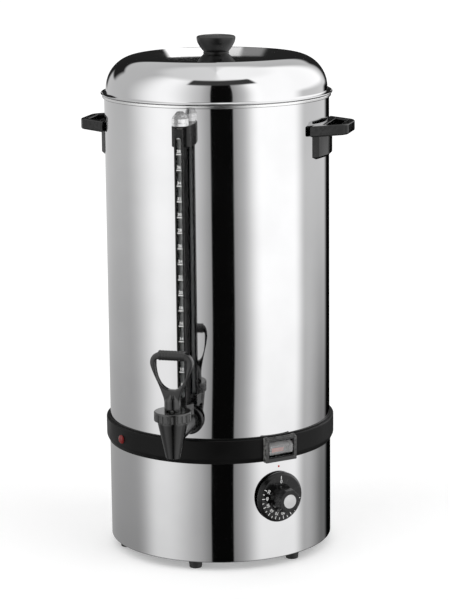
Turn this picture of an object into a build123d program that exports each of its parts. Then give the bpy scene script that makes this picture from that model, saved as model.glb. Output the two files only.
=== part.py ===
from build123d import *
import os
from math import atan2, cos, degrees, radians, sin, sqrt

# Hot water urn: a double-walled steel barrel on a heated base, with a lift-off lid, two side
# handles, a level gauge, a non-drip tap, a thermostat knob, a rocker switch and a pilot lamp.
# Millimetres, +Z up; the tap faces -Y. Everything is built about the barrel's upright axis and
# moved back at the end, so that the origin is under the middle of the whole urn, on the floor.
# Azimuths are degrees from the front, positive towards +X.

# --- Barrel, band and base: heights are stacked from the floor -----------------------------
foot_height = 11.0
base_height = 126.3
band_height = 31.7
barrel_height = 409.0
body_radius = 140.0
shell_wall = 0.8
base_radius = body_radius + 1.0
band_radius = body_radius + 5.0
tank_radius = body_radius - 9.0
tank_wall = 1.0
tank_floor_drop = 2.6
tank_corner = 12.0
rim_corner = 2.0
bead_radius = body_radius + 2.4
bead_height = 3.6

base_z = foot_height
band_z = base_z + base_height
band_top_z = band_z + band_height
rim_z = band_top_z + barrel_height
tank_floor_z = band_top_z - tank_floor_drop
tank_under_z = tank_floor_z - tank_wall
tank_bore = tank_radius - tank_wall
controls_z = band_z + band_height / 2
seat_gap = 0.05

# --- Band section ---------------------------------------------------------------------------
band_skin = 2.6
band_chamfer_in = 3.0
band_chamfer_up = 6.2
band_ledge = 1.0
band_lip_wall = 1.75
band_lip_rise = 1.5
band_top_grip = 5.5
band_foot_grip = 4.7
web_inner_radius = body_radius - 6.0
web_thickness = 2.0
web_top_z = controls_z + web_thickness / 2

# --- Base shell and bottom plate ------------------------------------------------------------
base_lip_inner = base_radius - 11.0
base_edge_radius = 1.6
plate_thickness = 1.0
plate_radius = base_radius - shell_wall - 1.0
plate_z = base_z + shell_wall
plate_top_z = plate_z + plate_thickness
vent_count = 12
vent_circle = base_radius - 49.0
vent_length = 24.0
vent_width = 4.0

# --- Feet -----------------------------------------------------------------------------------
foot_count = 6
foot_circle = base_radius - 16.0
foot_top_radius = 9.0
foot_tip_radius = 7.6
foot_recess_radius = 4.6
foot_recess_depth = 6.0
foot_screw_radius = 2.0
foot_head_radius = 3.9
foot_head_height = 2.4
foot_nut_height = 3.2
foot_nut_radius = 4.0
screw_clearance = 0.25

# --- Tank support, tie rod and heater -------------------------------------------------------
support_leg_radius = tank_radius - 15.0
support_wall = 1.2
tie_radius = 3.0
tie_below_nut = 1.2
tie_nut_radius = 5.8
tie_nut_height = 3.4
heater_plate_radius = tank_radius - 36.0
heater_plate_thickness = 4.0
element_circle = heater_plate_radius - 20.0
element_radius = 4.0
ferrule_radius = 4.8
element_arc = 310.0
cold_leg = 16.0
terminal_radius = 1.5
terminal_length = 8.0
cutout_radius = 8.0
cutout_height = 7.0
cutout_place = (33.0 - element_circle, 0.0)
bulb_radius = 3.2
bulb_length = 50.0
bulb_offset = 35.0
capillary_radius = 1.0
terminal_block_size = (24.0, 58.0, 20.0)
terminal_block_place = (-70.0, 5.0)
terminal_hole_radius = 3.0
terminal_pitch = 17.0

# --- Lid ------------------------------------------------------------------------------------
lid_radius = body_radius - 2.1
lid_wall = 0.8
lid_height = 48.9
crown_radius = 2500.0
shoulder_radius = 41.0
flare_radius = 3.4
lid_flange_radius = body_radius + 3.1
hem_radius = 1.1
lip_clearance = 1.0
lip_depth = 11.0
lip_wall = 0.8
lip_leg = 7.0
knob_height = 22.5
knob_radius = 24.4
knob_brim_height = 17.9
knob_neck_radius = 15.3
knob_foot_radius = 16.0
knob_screw_radius = 3.0
knob_head_radius = 5.5
knob_head_height = 3.4
knob_screw_reach = 12.0
knob_washer_radius = 9.0
knob_washer_thickness = 1.2

# --- Side handles ---------------------------------------------------------------------------
handle_drop = 33.5
grip_thickness = 13.3
grip_reach = 31.5
grip_half = 26.5
handle_root_half = 57.0
handle_root_x = body_radius - 8.0
arm_width = 12.6
bar_width = 9.5
grip_corner = 8.0
grip_edge = 1.4
plate_drop = 29.0
mount_face_proud = 4.0
mount_face_half = 14.0
mount_mid_x = body_radius - 1.0
mount_mid_half = 38.0
mount_edge_half = 46.0
mount_chamfer = 3.0
handle_screw_turn = 18.3
handle_screw_radius = 2.0
handle_screw_reach = 8.0
handle_head_radius = 4.0
handle_head_height = 2.6

# --- Tap ------------------------------------------------------------------------------------
tap_rise = 24.8
tap_reach = 77.3
spout_drop = 28.3
spout_tip_radius = 8.6
barrel_top_rise = 18.2
barrel_top_radius = 17.9
barrel_straight = 3.5
neck_radius = 15.0
neck_height = 7.5
chamber_radius = 11.0
seat_drop = 4.8
outlet_radius = 5.5
inlet_radius = 4.4
shank_radius = 12.5
thread_radius = 10.0
shank_inside = 14.0
collar_radius = 17.8
collar_stand = 3.0
collar_thickness = 6.0
washer_radius = 15.5
spacer_radius = 14.0
back_nut_radius = 15.6
back_nut_height = 6.5
inner_washer_thickness = 4.0
bonnet_radius = 22.3
bonnet_height = 11.5
bonnet_cap = 3.5
bonnet_rib_count = 24
bonnet_rib_radius = 1.5
stem_radius = 3.0
stem_fit = 0.05
seat_cup_radius = 9.0
seat_cup_height = 5.0
seat_cup_foot = 2.0
spring_radius = 6.6
spring_wire = 0.6
spring_turns = 6.0
pin_radius = 1.5
cam_radius = 4.8
cam_gap = 0.2
tap_lift = 3.6
tap_tilt = 50.0
loop_neck_half = 9.3
boss_top = 9.0
loop_depth = 8.4
loop_edge = 1.8
loop_half_width = 26.2
loop_height = 68.0
loop_arm = 6.4
loop_bar_foot = 57.0
fork_gap_half = 3.3
grip_bar_radius = 6.1
grip_bar_half = 16.0
grip_bar_ribs = 9
grip_bar_groove = 0.7

# --- Level gauge ----------------------------------------------------------------------------
gauge_stand = 27.0
tube_radius = 4.0
tube_bore = 2.7
guard_width = 2 * tube_radius + 3.2
guard_depth = 18.0
guard_wall = 1.5
guard_proud = 9.5
slit_width = 6.0
slit_top_drop = 10.5
slit_foot_rise = 8.0
gauge_top_drop = 21.5
bracket_width = 23.0
bracket_height = 25.5
bracket_reach = 32.0
bracket_roof = 2.5
bracket_corner = 4.0
bracket_screw_radius = 1.8
bracket_screw_reach = 11.0
boss_radius = 9.0
boss_rise = 17.2
grommet_radius = 5.5
grommet_depth = 6.0
lower_nut_radius = 12.0
lower_nut_overlap = 4.0
lower_nut_height = 13.2
cap_radius = 10.3
cap_height = 17.0
cap_sides = 10
cap_stem_radius = 1.9

# --- Thermostat -----------------------------------------------------------------------------
control_azimuth = 45.0
dial_rise = 79.5
dial_stand = 1.5
skirt_radius = 31.5
skirt_edge = 3.0
skirt_height = 6.5
skirt_face_radius = 28.3
skirt_hollow_radius = 27.0
skirt_hollow_depth = 3.0
hub_sides = 8
hub_foot_radius = 17.2
hub_top_radius = 13.8
hub_height = 20.0
dial_cap_radius = 9.25
dial_cap_thickness = 1.6
dial_cap_sunk = 1.0
shaft_radius = 3.0
shaft_fit = 0.05
shaft_length = 44.0
shaft_hole_radius = 6.0
bracket_plane = base_radius - 10.0
bracket_plate = 1.5
thermostat_width = 34.0
thermostat_tall = 44.0
thermostat_deep = 26.0
thermostat_neck_radius = 5.0
thermostat_neck_length = 5.0
thermostat_nut_radius = 8.0
thermostat_nut_height = 2.5
bracket_foot = 18.0

# --- Rocker switch --------------------------------------------------------------------------
frame_width = 44.0
frame_proud = 4.5
switch_width = 35.7
switch_tall = 22.0
switch_wall = 1.0
switch_deep = 30.0
switch_recess = 1.0
window_margin = 0.7
rocker_gap = 0.2
rocker_pivot_depth = 8.5
rocker_front = 9.5
rocker_face_half = 4.8
rocker_shoulder = 3.0
rocker_half = 9.2
rocker_back = 3.0
rocker_back_half = 5.0
rocker_rest_tilt = 8.0
peg_radius = 1.5
peg_length = 0.9
insert_width = 17.0
insert_tall = 5.2
insert_deep = 3.6
insert_shift = -4.5
insert_skin = 1.6
frame_rib_count = 4
frame_rib_height = 0.7

# --- Pilot lamp -----------------------------------------------------------------------------
lamp_azimuth = -43.0
lamp_hole_radius = 5.2
lamp_stem_radius = 5.1
lamp_lens_radius = 5.6
lamp_body_radius = 4.9
lamp_body_length = 20.0
lamp_rim = 0.8
lamp_dome = 2.2

# --- Appliance inlet ------------------------------------------------------------------------
inlet_azimuth = 180.0
inlet_rise = 60.0
inlet_flange = (50.0, 27.5)
inlet_proud = 3.0
inlet_body = (27.6, 20.0)
inlet_body_deep = 22.0
inlet_socket = (24.2, 16.4)
inlet_socket_deep = 17.0
inlet_pin = (2.0, 4.0)
inlet_pin_reach = 14.0
inlet_pin_tail = 10.0
inlet_pin_spread = 7.0
inlet_pin_step = 2.5
inlet_screw_spread = 20.0
inlet_screw_radius = 1.6
inlet_screw_head = 3.2
inlet_screw_head_height = 1.6
inlet_screw_reach = 10.0
wire_radius = 1.3


def outward(azimuth, distance, z):
    """Plane that faces away from the urn's axis; its x runs right and its y up, seen from outside."""
    a = radians(azimuth)
    return Plane(
        origin=(distance * sin(a), -distance * cos(a), z),
        x_dir=(cos(a), sin(a), 0),
        z_dir=(sin(a), -cos(a), 0),
    )


def round_hole(azimuth, z, radius, start=body_radius - 40, depth=60.0):
    """Cut a round hole through the current part's wall."""
    with BuildSketch(outward(azimuth, start, z)) as hole:
        Circle(radius)
    extrude(hole.sketch, amount=depth, mode=Mode.SUBTRACT)


def window(azimuth, z, width, height, start=body_radius - 40, depth=60.0):
    """Cut a rectangular window through the current part's wall."""
    with BuildSketch(outward(azimuth, start, z)) as opening:
        Rectangle(width, height)
    extrude(opening.sketch, amount=depth, mode=Mode.SUBTRACT)


def hollow_round(radius, mode=Mode.SUBTRACT):
    """Cut the current part back to a cylinder about the urn's axis, or keep what is inside it."""
    Cylinder(radius, 2 * rim_z + 400, mode=mode)


def tube(radius, wall, z_low, z_high):
    """Add a thin upright tube with its outer radius given."""
    with BuildSketch(Plane.XY.offset(z_low)) as ring:
        Circle(radius)
        Circle(radius - wall, mode=Mode.SUBTRACT)
    extrude(ring.sketch, amount=z_high - z_low)


# Places that several pieces share
tap_z = band_top_z + tap_rise
tap_y = -(body_radius + tap_reach)
seat_z = tap_z - seat_drop
barrel_top_z = tap_z + barrel_top_rise
bonnet_top_z = barrel_top_z + bonnet_height
bonnet_ceiling_z = bonnet_top_z - bonnet_cap
spout_z = tap_z - spout_drop
pin_z = bonnet_top_z + cam_gap + cam_radius
cam_rate = tap_lift / radians(tap_tilt)
lever_face = Plane((0, tap_y, pin_z), x_dir=(1, 0, 0), z_dir=(0, -1, 0))
lever_side = Plane((0, tap_y, pin_z), x_dir=(0, 1, 0), z_dir=(1, 0, 0))
room = 2 * loop_neck_half
shank_hole = thread_radius + 0.4
collar_plane = body_radius + collar_stand
gauge_y = -(body_radius + gauge_stand)
guard_front = body_radius + gauge_stand + guard_proud
bracket_top_z = rim_z - gauge_top_drop
bracket_z = bracket_top_z - bracket_height
guard_top_z = bracket_top_z - bracket_roof - 0.2
tube_foot_z = tap_z + boss_rise - grommet_depth
lower_nut_z = tap_z + boss_rise - lower_nut_overlap
guard_foot_z = lower_nut_z + lower_nut_height
handle_top_z = rim_z - handle_drop
grip_z = handle_top_z - grip_thickness
handle_screw_z = grip_z + grip_thickness / 2
dial_z = base_z + dial_rise
dial_plane = base_radius + dial_stand
skirt_front = dial_plane + skirt_height
inlet_z = base_z + inlet_rise
switch_window = (switch_width + 2 * window_margin, switch_tall + 2 * window_margin)
frame_plane = band_radius + frame_proud
switch_plane = frame_plane - switch_recess
rocker_plane = switch_plane - rocker_pivot_depth

# === Barrel =================================================================================
with BuildPart() as inner_tank:
    with BuildSketch(Plane.XZ):
        with BuildLine():
            FilletPolyline(
                (0, tank_floor_z),
                (tank_bore, tank_floor_z),
                (tank_bore, rim_z),
                (bead_radius, rim_z),
                (bead_radius, rim_z - bead_height),
                radius=(tank_corner, rim_corner, rim_corner),
            )
            offset(amount=tank_wall, side=Side.RIGHT)
        make_face()
    revolve(axis=Axis.Z)
    round_hole(0, tap_z, shank_hole)

with BuildPart() as outer_shell:
    tube(body_radius, shell_wall, web_top_z, rim_z - tank_wall)
    round_hole(0, tap_z, shank_hole)
    round_hole(0, bracket_z + bracket_height / 2, bracket_screw_radius + screw_clearance)
    for side in (90, -90):
        for turn in (-handle_screw_turn, handle_screw_turn):
            round_hole(side + turn, handle_screw_z, handle_screw_radius + screw_clearance)
    window(control_azimuth, controls_z, *switch_window)
    round_hole(lamp_azimuth, controls_z, lamp_hole_radius)

with BuildPart() as band_ring:
    skin_inner = band_radius - band_skin
    web_z = web_top_z - web_thickness
    with BuildSketch(Plane.XZ):
        with BuildLine():
            Polyline(
                (base_radius + seat_gap, band_z),
                (band_radius - band_chamfer_in, band_z),
                (band_radius, band_z + band_chamfer_up),
                (band_radius, band_top_z - band_lip_rise - band_ledge),
                (band_radius - band_ledge, band_top_z - band_lip_rise),
                (body_radius + band_lip_wall, band_top_z - band_lip_rise),
                (body_radius + band_lip_wall, band_top_z),
                (body_radius + seat_gap, band_top_z),
                (body_radius + seat_gap, band_top_z - band_top_grip),
                (skin_inner, band_top_z - band_top_grip),
                (skin_inner, web_top_z),
                (web_inner_radius, web_top_z),
                (web_inner_radius, web_z),
                (skin_inner, web_z),
                (skin_inner, band_z + band_foot_grip),
                (base_radius + seat_gap, band_z + band_foot_grip),
                close=True,
            )
        make_face()
    revolve(axis=Axis.Z)
    window(control_azimuth, controls_z, *switch_window)
    round_hole(lamp_azimuth, controls_z, lamp_hole_radius)

with BuildPart() as base_shell:
    with BuildSketch(Plane.XZ):
        with BuildLine():
            FilletPolyline(
                (base_lip_inner, base_z),
                (base_radius, base_z),
                (base_radius, web_top_z - web_thickness),
                radius=base_edge_radius,
            )
            offset(amount=shell_wall, side=Side.LEFT)
        make_face()
    revolve(axis=Axis.Z)
    round_hole(control_azimuth, dial_z, shaft_hole_radius)
    window(control_azimuth, controls_z, *switch_window)
    round_hole(lamp_azimuth, controls_z, lamp_hole_radius)
    window(inlet_azimuth, inlet_z, inlet_body[0] + 2 * window_margin, inlet_body[1] + 2 * window_margin)
    with BuildSketch(outward(inlet_azimuth, base_radius - 20, inlet_z)):
        with GridLocations(2 * inlet_screw_spread, 1, 2, 1):
            Circle(inlet_screw_radius + screw_clearance)
    extrude(amount=40, mode=Mode.SUBTRACT)
    with BuildSketch(Plane.XY.offset(base_z)):
        with PolarLocations(foot_circle, foot_count, start_angle=-90):
            Circle(foot_screw_radius + screw_clearance)
    extrude(amount=shell_wall, mode=Mode.SUBTRACT)

with BuildPart() as bottom_plate:
    with BuildSketch(Plane.XY.offset(plate_z)):
        Circle(plate_radius)
        Circle(tie_radius + screw_clearance, mode=Mode.SUBTRACT)
        with PolarLocations(vent_circle, vent_count):
            SlotOverall(vent_length, vent_width, mode=Mode.SUBTRACT)
        with PolarLocations(foot_circle, foot_count, start_angle=-90):
            Circle(foot_screw_radius + screw_clearance, mode=Mode.SUBTRACT)
    extrude(amount=plate_thickness)

with BuildPart() as tank_support_ring:
    with BuildSketch(Plane.XZ):
        with BuildLine():
            FilletPolyline(
                (body_radius - shell_wall - seat_gap, web_top_z),
                (support_leg_radius, web_top_z),
                (support_leg_radius, tank_under_z),
                radius=2 * support_wall,
            )
            offset(amount=support_wall, side=Side.RIGHT)
        make_face()
    revolve(axis=Axis.Z)
    window(control_azimuth, controls_z, switch_window[0], switch_window[1] + 2)
    round_hole(lamp_azimuth, controls_z, lamp_hole_radius)

# === Feet ===================================================================================
with BuildPart() as feet:
    with PolarLocations(foot_circle, foot_count, start_angle=-90):
        Cone(foot_tip_radius, foot_top_radius, foot_height, align=(Align.CENTER, Align.CENTER, Align.MIN))
        Cylinder(
            foot_recess_radius,
            foot_recess_depth,
            align=(Align.CENTER, Align.CENTER, Align.MIN),
            mode=Mode.SUBTRACT,
        )
        Cylinder(foot_screw_radius + seat_gap, 3 * foot_height, mode=Mode.SUBTRACT)

with BuildPart() as foot_screws:
    with BuildSketch(Plane.XY.offset(foot_recess_depth - foot_head_height)):
        with PolarLocations(foot_circle, foot_count, start_angle=-90):
            Circle(foot_head_radius)
    extrude(amount=foot_head_height)
    with BuildSketch(Plane.XY.offset(foot_recess_depth)):
        with PolarLocations(foot_circle, foot_count, start_angle=-90):
            Circle(foot_screw_radius)
    extrude(amount=plate_top_z + foot_nut_height + 1 - foot_recess_depth)

with BuildPart() as foot_nuts:
    with BuildSketch(Plane.XY.offset(plate_top_z)):
        with PolarLocations(foot_circle, foot_count, start_angle=-90):
            RegularPolygon(foot_nut_radius, 6)
            Circle(foot_screw_radius + seat_gap, mode=Mode.SUBTRACT)
    extrude(amount=foot_nut_height)

# === Tie rod and heater =====================================================================
with BuildPart() as tie_rod:
    tie_foot_z = plate_z - tie_nut_height - tie_below_nut
    with BuildSketch(Plane.XY.offset(tie_foot_z)):
        Circle(tie_radius)
    extrude(amount=tank_under_z - tie_foot_z)

with BuildPart() as tie_nut:
    with BuildSketch(Plane.XY.offset(plate_z - tie_nut_height)):
        RegularPolygon(tie_nut_radius, 6)
        Circle(tie_radius + seat_gap, mode=Mode.SUBTRACT)
    extrude(amount=tie_nut_height)

heater_z = tank_under_z - heater_plate_thickness
with BuildPart() as heater_plate:
    with BuildSketch(Plane.XY.offset(heater_z)):
        Circle(heater_plate_radius)
        Circle(tie_radius + screw_clearance, mode=Mode.SUBTRACT)
    extrude(amount=heater_plate_thickness)

element_z = heater_z - element_radius
with BuildPart() as heating_element:
    with BuildLine(Plane.XY.offset(element_z)) as element_path:
        CenterArc((0, 0), element_circle, 0, element_arc)
    with BuildSketch(Plane((element_circle, 0, element_z), x_dir=(1, 0, 0), z_dir=(0, 1, 0))):
        Circle(element_radius)
    sweep(path=element_path.line)
    for end in (0, element_arc):
        x_end = element_circle * cos(radians(end))
        y_end = element_circle * sin(radians(end))
        with Locations((x_end, y_end, heater_z - seat_gap)):
            Cylinder(
                ferrule_radius,
                cold_leg + element_radius - seat_gap,
                align=(Align.CENTER, Align.CENTER, Align.MAX),
            )
        with Locations((x_end, y_end, element_z - cold_leg)):
            Cylinder(terminal_radius, terminal_length, align=(Align.CENTER, Align.CENTER, Align.MAX))

with BuildPart() as thermal_cutout:
    with Locations((*cutout_place, heater_z)):
        Cylinder(cutout_radius, cutout_height, align=(Align.CENTER, Align.CENTER, Align.MAX))
    with Locations((*cutout_place, heater_z - cutout_height)):
        with GridLocations(cutout_radius, 1, 2, 1):
            Box(1.0, 4.8, 6.0, align=(Align.CENTER, Align.CENTER, Align.MAX))

bulb_z = heater_z - bulb_radius
with BuildPart() as sensor_bulb:
    with BuildSketch(Plane.YZ.offset(-bulb_length / 2)):
        with Locations((bulb_offset, bulb_z)):
            Circle(bulb_radius)
    extrude(amount=bulb_length)
    fillet(sensor_bulb.edges(), bulb_radius / 3)

with BuildPart() as terminal_block:
    with Locations((*terminal_block_place, plate_top_z)):
        Box(*terminal_block_size, align=(Align.CENTER, Align.CENTER, Align.MIN))
    block_holes = Plane.XY.offset(plate_top_z + terminal_block_size[2])
    with BuildSketch(block_holes):
        with Locations(terminal_block_place):
            with GridLocations(1, terminal_pitch, 1, 3):
                Circle(terminal_hole_radius)
    extrude(amount=-terminal_block_size[2] / 2, mode=Mode.SUBTRACT)

# === Lid ====================================================================================
crown_z = rim_z + lid_height
crown_centre_z = crown_z - crown_radius
shoulder_x = lid_radius - shoulder_radius
shoulder_z = crown_centre_z + sqrt((crown_radius - shoulder_radius) ** 2 - shoulder_x**2)
crown_lean = degrees(atan2(shoulder_x, shoulder_z - crown_centre_z))
flange_z = rim_z + lid_wall

with BuildPart() as lid_dome:
    with BuildSketch(Plane.XZ):
        with BuildLine():
            CenterArc((0, crown_centre_z), crown_radius, 90, -crown_lean)
            CenterArc((shoulder_x, shoulder_z), shoulder_radius, 90 - crown_lean, crown_lean - 90)
            Line((lid_radius, shoulder_z), (lid_radius, flange_z + flare_radius))
            CenterArc((lid_radius + flare_radius, flange_z + flare_radius), flare_radius, 180, 90)
            Line((lid_radius + flare_radius, flange_z), (lid_flange_radius, flange_z))
            offset(amount=lid_wall, side=Side.RIGHT)
        make_face()
        with Locations((lid_flange_radius, flange_z - lid_wall / 2 + 0.5)):
            Circle(hem_radius)
    revolve(axis=Axis.Z)
    with Locations((0, 0, crown_z)):
        Cylinder(knob_screw_radius + screw_clearance, 10, mode=Mode.SUBTRACT)

with BuildPart() as lid_locating_ring:
    lip_radius = tank_bore - lip_clearance
    leg_radius = lid_radius - lid_wall - 2 * seat_gap
    with BuildSketch(Plane.XZ):
        with BuildLine():
            FilletPolyline(
                (lip_radius, rim_z - lip_depth),
                (lip_radius, rim_z),
                (leg_radius, rim_z),
                (leg_radius, rim_z + lip_leg),
                radius=1.2,
            )
            offset(amount=lip_wall, side=Side.LEFT)
        make_face()
    revolve(axis=Axis.Z)

with BuildPart() as lid_knob:
    with BuildSketch(Plane.XZ):
        with BuildLine():
            Polyline(
                (0, crown_z + knob_height),
                (0, crown_z),
                (knob_foot_radius, crown_z),
                (knob_foot_radius, crown_z + 0.8),
                (knob_neck_radius, crown_z + 1.4),
            )
            flank = Spline(
                (knob_neck_radius, crown_z + 1.4),
                (knob_radius - 4, crown_z + 8),
                (knob_radius, crown_z + knob_brim_height),
                tangents=[(0.67, 0.74), (0, 1)],
            )
            brim = Spline(
                flank @ 1,
                (knob_radius - 0.8, crown_z + knob_brim_height + 2.1),
                (knob_radius - 2.9, crown_z + knob_brim_height + 3.2),
                tangents=[(0, 1), (-1, 0.17)],
            )
            Spline(brim @ 1, (0, crown_z + knob_height), tangents=[(-1, 0.17), (-1, 0)])
        make_face()
    revolve(axis=Axis.Z)
    with BuildSketch(Plane.XY.offset(crown_z)):
        Circle(knob_screw_radius + seat_gap)
    extrude(amount=knob_screw_reach + 1, mode=Mode.SUBTRACT)

washer_z = crown_z - lid_wall - knob_washer_thickness - seat_gap
with BuildPart() as lid_knob_washer:
    with BuildSketch(Plane.XY.offset(washer_z)):
        Circle(knob_washer_radius)
        Circle(knob_screw_radius + screw_clearance, mode=Mode.SUBTRACT)
    extrude(amount=knob_washer_thickness)

with BuildPart() as lid_knob_screw:
    with BuildSketch(Plane.XY.offset(washer_z - knob_head_height)):
        Circle(knob_head_radius)
    extrude(amount=knob_head_height)
    fillet(lid_knob_screw.edges().group_by(Axis.Z)[0], 1.2)
    with BuildSketch(Plane.XY.offset(washer_z)):
        Circle(knob_screw_radius)
    extrude(amount=crown_z + knob_screw_reach - washer_z)

# === Side handles ===========================================================================
grip_x = body_radius + grip_reach
arm_slope = (handle_root_half - grip_half) / (grip_x - handle_root_x)
mount_face_x = body_radius + mount_face_proud
bar_x = grip_x - bar_width
gap_half_in = handle_root_half - arm_slope * (mount_face_x - handle_root_x) - arm_width
gap_half_out = handle_root_half - arm_slope * (bar_x - handle_root_x) - arm_width

with BuildPart() as handle_right:
    with BuildSketch(Plane.XY.offset(grip_z)):
        with BuildLine():
            FilletPolyline(
                (handle_root_x, -handle_root_half),
                (grip_x, -grip_half),
                (grip_x, grip_half),
                (handle_root_x, handle_root_half),
                radius=grip_corner,
            )
            Line((handle_root_x, handle_root_half), (handle_root_x, -handle_root_half))
        make_face()
        with BuildLine():
            FilletPolyline(
                (mount_face_x, -gap_half_in),
                (bar_x, -gap_half_out),
                (bar_x, gap_half_out),
                (mount_face_x, gap_half_in),
                radius=2.5,
                close=True,
            )
        make_face(mode=Mode.SUBTRACT)
    extrude(amount=grip_thickness)
    fillet(handle_right.edges().group_by(Axis.Z)[-1] + handle_right.edges().group_by(Axis.Z)[0], grip_edge)
    with BuildSketch(Plane.XY.offset(grip_z - plate_drop)):
        Polygon(
            (handle_root_x - 4, -mount_edge_half),
            (handle_root_x + 0.5, -mount_edge_half),
            (mount_mid_x, -mount_mid_half),
            (mount_face_x, -mount_face_half),
            (mount_face_x, mount_face_half),
            (mount_mid_x, mount_mid_half),
            (handle_root_x + 0.5, mount_edge_half),
            (handle_root_x - 4, mount_edge_half),
            align=None,
        )
    extrude(amount=plate_drop + grip_edge)
    mount_foot = handle_right.faces().sort_by(Axis.Z)[0]
    chamfer(mount_foot.edges().sort_by(Axis.X)[-5:], mount_chamfer)
    hollow_round(body_radius + seat_gap)
    for turn in (-handle_screw_turn, handle_screw_turn):
        round_hole(
            90 + turn,
            handle_screw_z,
            handle_screw_radius + seat_gap,
            body_radius - 10,
            10 + handle_screw_reach,
        )

with BuildPart() as handle_left:
    mirror(handle_right.part, about=Plane.YZ)

with BuildPart() as handle_screws:
    inside = body_radius - shell_wall
    for side in (90, -90):
        for turn in (-handle_screw_turn, handle_screw_turn):
            with BuildSketch(outward(side + turn, inside - handle_head_height, handle_screw_z)):
                Circle(handle_head_radius)
            extrude(amount=handle_head_height - 0.1)
            with BuildSketch(outward(side + turn, inside - handle_head_height, handle_screw_z)):
                Circle(handle_screw_radius)
            extrude(amount=handle_head_height + shell_wall + handle_screw_reach - 0.5)

# === Tap ====================================================================================
tap_axis = Plane((0, tap_y, 0), x_dir=(1, 0, 0), z_dir=(0, -1, 0))
barrel_axis = Axis((0, tap_y, 0), (0, 0, 1))

with BuildPart() as tap_body:
    with BuildSketch(tap_axis):
        with BuildLine():
            Polyline(
                (0, spout_z),
                (spout_tip_radius, spout_z),
                (barrel_top_radius, barrel_top_z - barrel_straight),
                (barrel_top_radius, barrel_top_z),
                (neck_radius, barrel_top_z),
                (neck_radius, barrel_top_z + neck_height),
                (0, barrel_top_z + neck_height),
                close=True,
            )
        make_face()
    revolve(axis=barrel_axis)
    with BuildSketch(outward(0, collar_plane + collar_thickness, tap_z)):
        Circle(shank_radius)
    extrude(amount=-tap_y - collar_plane - collar_thickness - chamber_radius)
    with BuildSketch(outward(0, tank_bore - shank_inside, tap_z)):
        Circle(thread_radius)
    extrude(amount=collar_plane + collar_thickness - tank_bore + shank_inside)
    with BuildSketch(Plane.XY.offset(tap_z)):
        with Locations((0, gauge_y)):
            Circle(boss_radius)
    extrude(amount=boss_rise)
    with BuildSketch(Plane.XY.offset(seat_z)):
        with Locations((0, tap_y)):
            Circle(chamber_radius)
    extrude(amount=barrel_top_z + neck_height - seat_z, mode=Mode.SUBTRACT)
    with BuildSketch(Plane.XY.offset(spout_z)):
        with Locations((0, tap_y)):
            Circle(outlet_radius)
    extrude(amount=seat_z - spout_z, mode=Mode.SUBTRACT)
    with BuildSketch(outward(0, tank_bore - shank_inside, tap_z)):
        Circle(inlet_radius)
    extrude(amount=-tap_y - tank_bore + shank_inside, mode=Mode.SUBTRACT)
    with BuildSketch(Plane.XY.offset(tap_z)):
        with Locations((0, gauge_y)):
            Circle(tube_bore)
    extrude(amount=boss_rise, mode=Mode.SUBTRACT)
    with BuildSketch(Plane.XY.offset(tube_foot_z)):
        with Locations((0, gauge_y)):
            Circle(grommet_radius)
    extrude(amount=grommet_depth, mode=Mode.SUBTRACT)

with BuildPart() as tap_collar:
    with BuildSketch(outward(0, collar_plane, tap_z)):
        Circle(collar_radius)
        Circle(thread_radius + seat_gap, mode=Mode.SUBTRACT)
    extrude(amount=collar_thickness)
    fillet(tap_collar.edges().group_by(Axis.Y)[0].sort_by(SortBy.LENGTH)[-1], 2.0)

with BuildPart() as tap_outer_washer:
    with BuildSketch(outward(0, body_radius - 2, tap_z)):
        Circle(washer_radius)
        Circle(shank_hole, mode=Mode.SUBTRACT)
    extrude(amount=collar_stand + 2)
    hollow_round(body_radius + seat_gap)

with BuildPart() as tap_spacer:
    with BuildSketch(outward(0, tank_bore - 4, tap_z)):
        Circle(spacer_radius)
        Circle(shank_hole, mode=Mode.SUBTRACT)
    extrude(amount=body_radius - tank_bore + 4)
    hollow_round(body_radius - shell_wall - seat_gap, Mode.INTERSECT)
    hollow_round(tank_radius + seat_gap)

nut_plane = tank_bore - inner_washer_thickness
with BuildPart() as tap_inner_washer:
    with BuildSketch(outward(0, nut_plane, tap_z)):
        Circle(washer_radius)
        Circle(shank_hole, mode=Mode.SUBTRACT)
    extrude(amount=inner_washer_thickness)
    hollow_round(tank_bore - seat_gap, Mode.INTERSECT)

with BuildPart() as tap_back_nut:
    with BuildSketch(outward(0, nut_plane, tap_z)):
        RegularPolygon(back_nut_radius, 6)
        Circle(thread_radius + seat_gap, mode=Mode.SUBTRACT)
    extrude(amount=-back_nut_height)

with BuildPart() as tap_bonnet:
    with BuildSketch(Plane.XY.offset(barrel_top_z)):
        with Locations((0, tap_y)):
            Circle(bonnet_radius)
    extrude(amount=bonnet_height)
    fillet(tap_bonnet.edges(), 1.4)
    with BuildSketch(Plane.XY.offset(barrel_top_z)):
        with Locations((0, tap_y)):
            with PolarLocations(bonnet_radius + bonnet_rib_radius / 2, bonnet_rib_count):
                Circle(bonnet_rib_radius)
    extrude(amount=bonnet_height - 2.2, mode=Mode.SUBTRACT)
    with BuildSketch(Plane.XY.offset(barrel_top_z)):
        with Locations((0, tap_y)):
            Circle(neck_radius + seat_gap)
    extrude(amount=bonnet_height - bonnet_cap, mode=Mode.SUBTRACT)
    with BuildSketch(Plane.XY.offset(bonnet_ceiling_z)):
        with Locations((0, tap_y)):
            Circle(stem_radius + stem_fit)
    extrude(amount=bonnet_cap, mode=Mode.SUBTRACT)

with BuildPart() as tap_seat:
    with BuildSketch(Plane.XY.offset(seat_z)):
        with Locations((0, tap_y)):
            Circle(seat_cup_radius)
    extrude(amount=seat_cup_height)
    fillet(tap_seat.edges().group_by(Axis.Z)[-1], 1.0)
    with BuildSketch(Plane.XY.offset(seat_z + seat_cup_foot)):
        with Locations((0, tap_y)):
            Circle(stem_radius + seat_gap)
    extrude(amount=seat_cup_height, mode=Mode.SUBTRACT)

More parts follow.
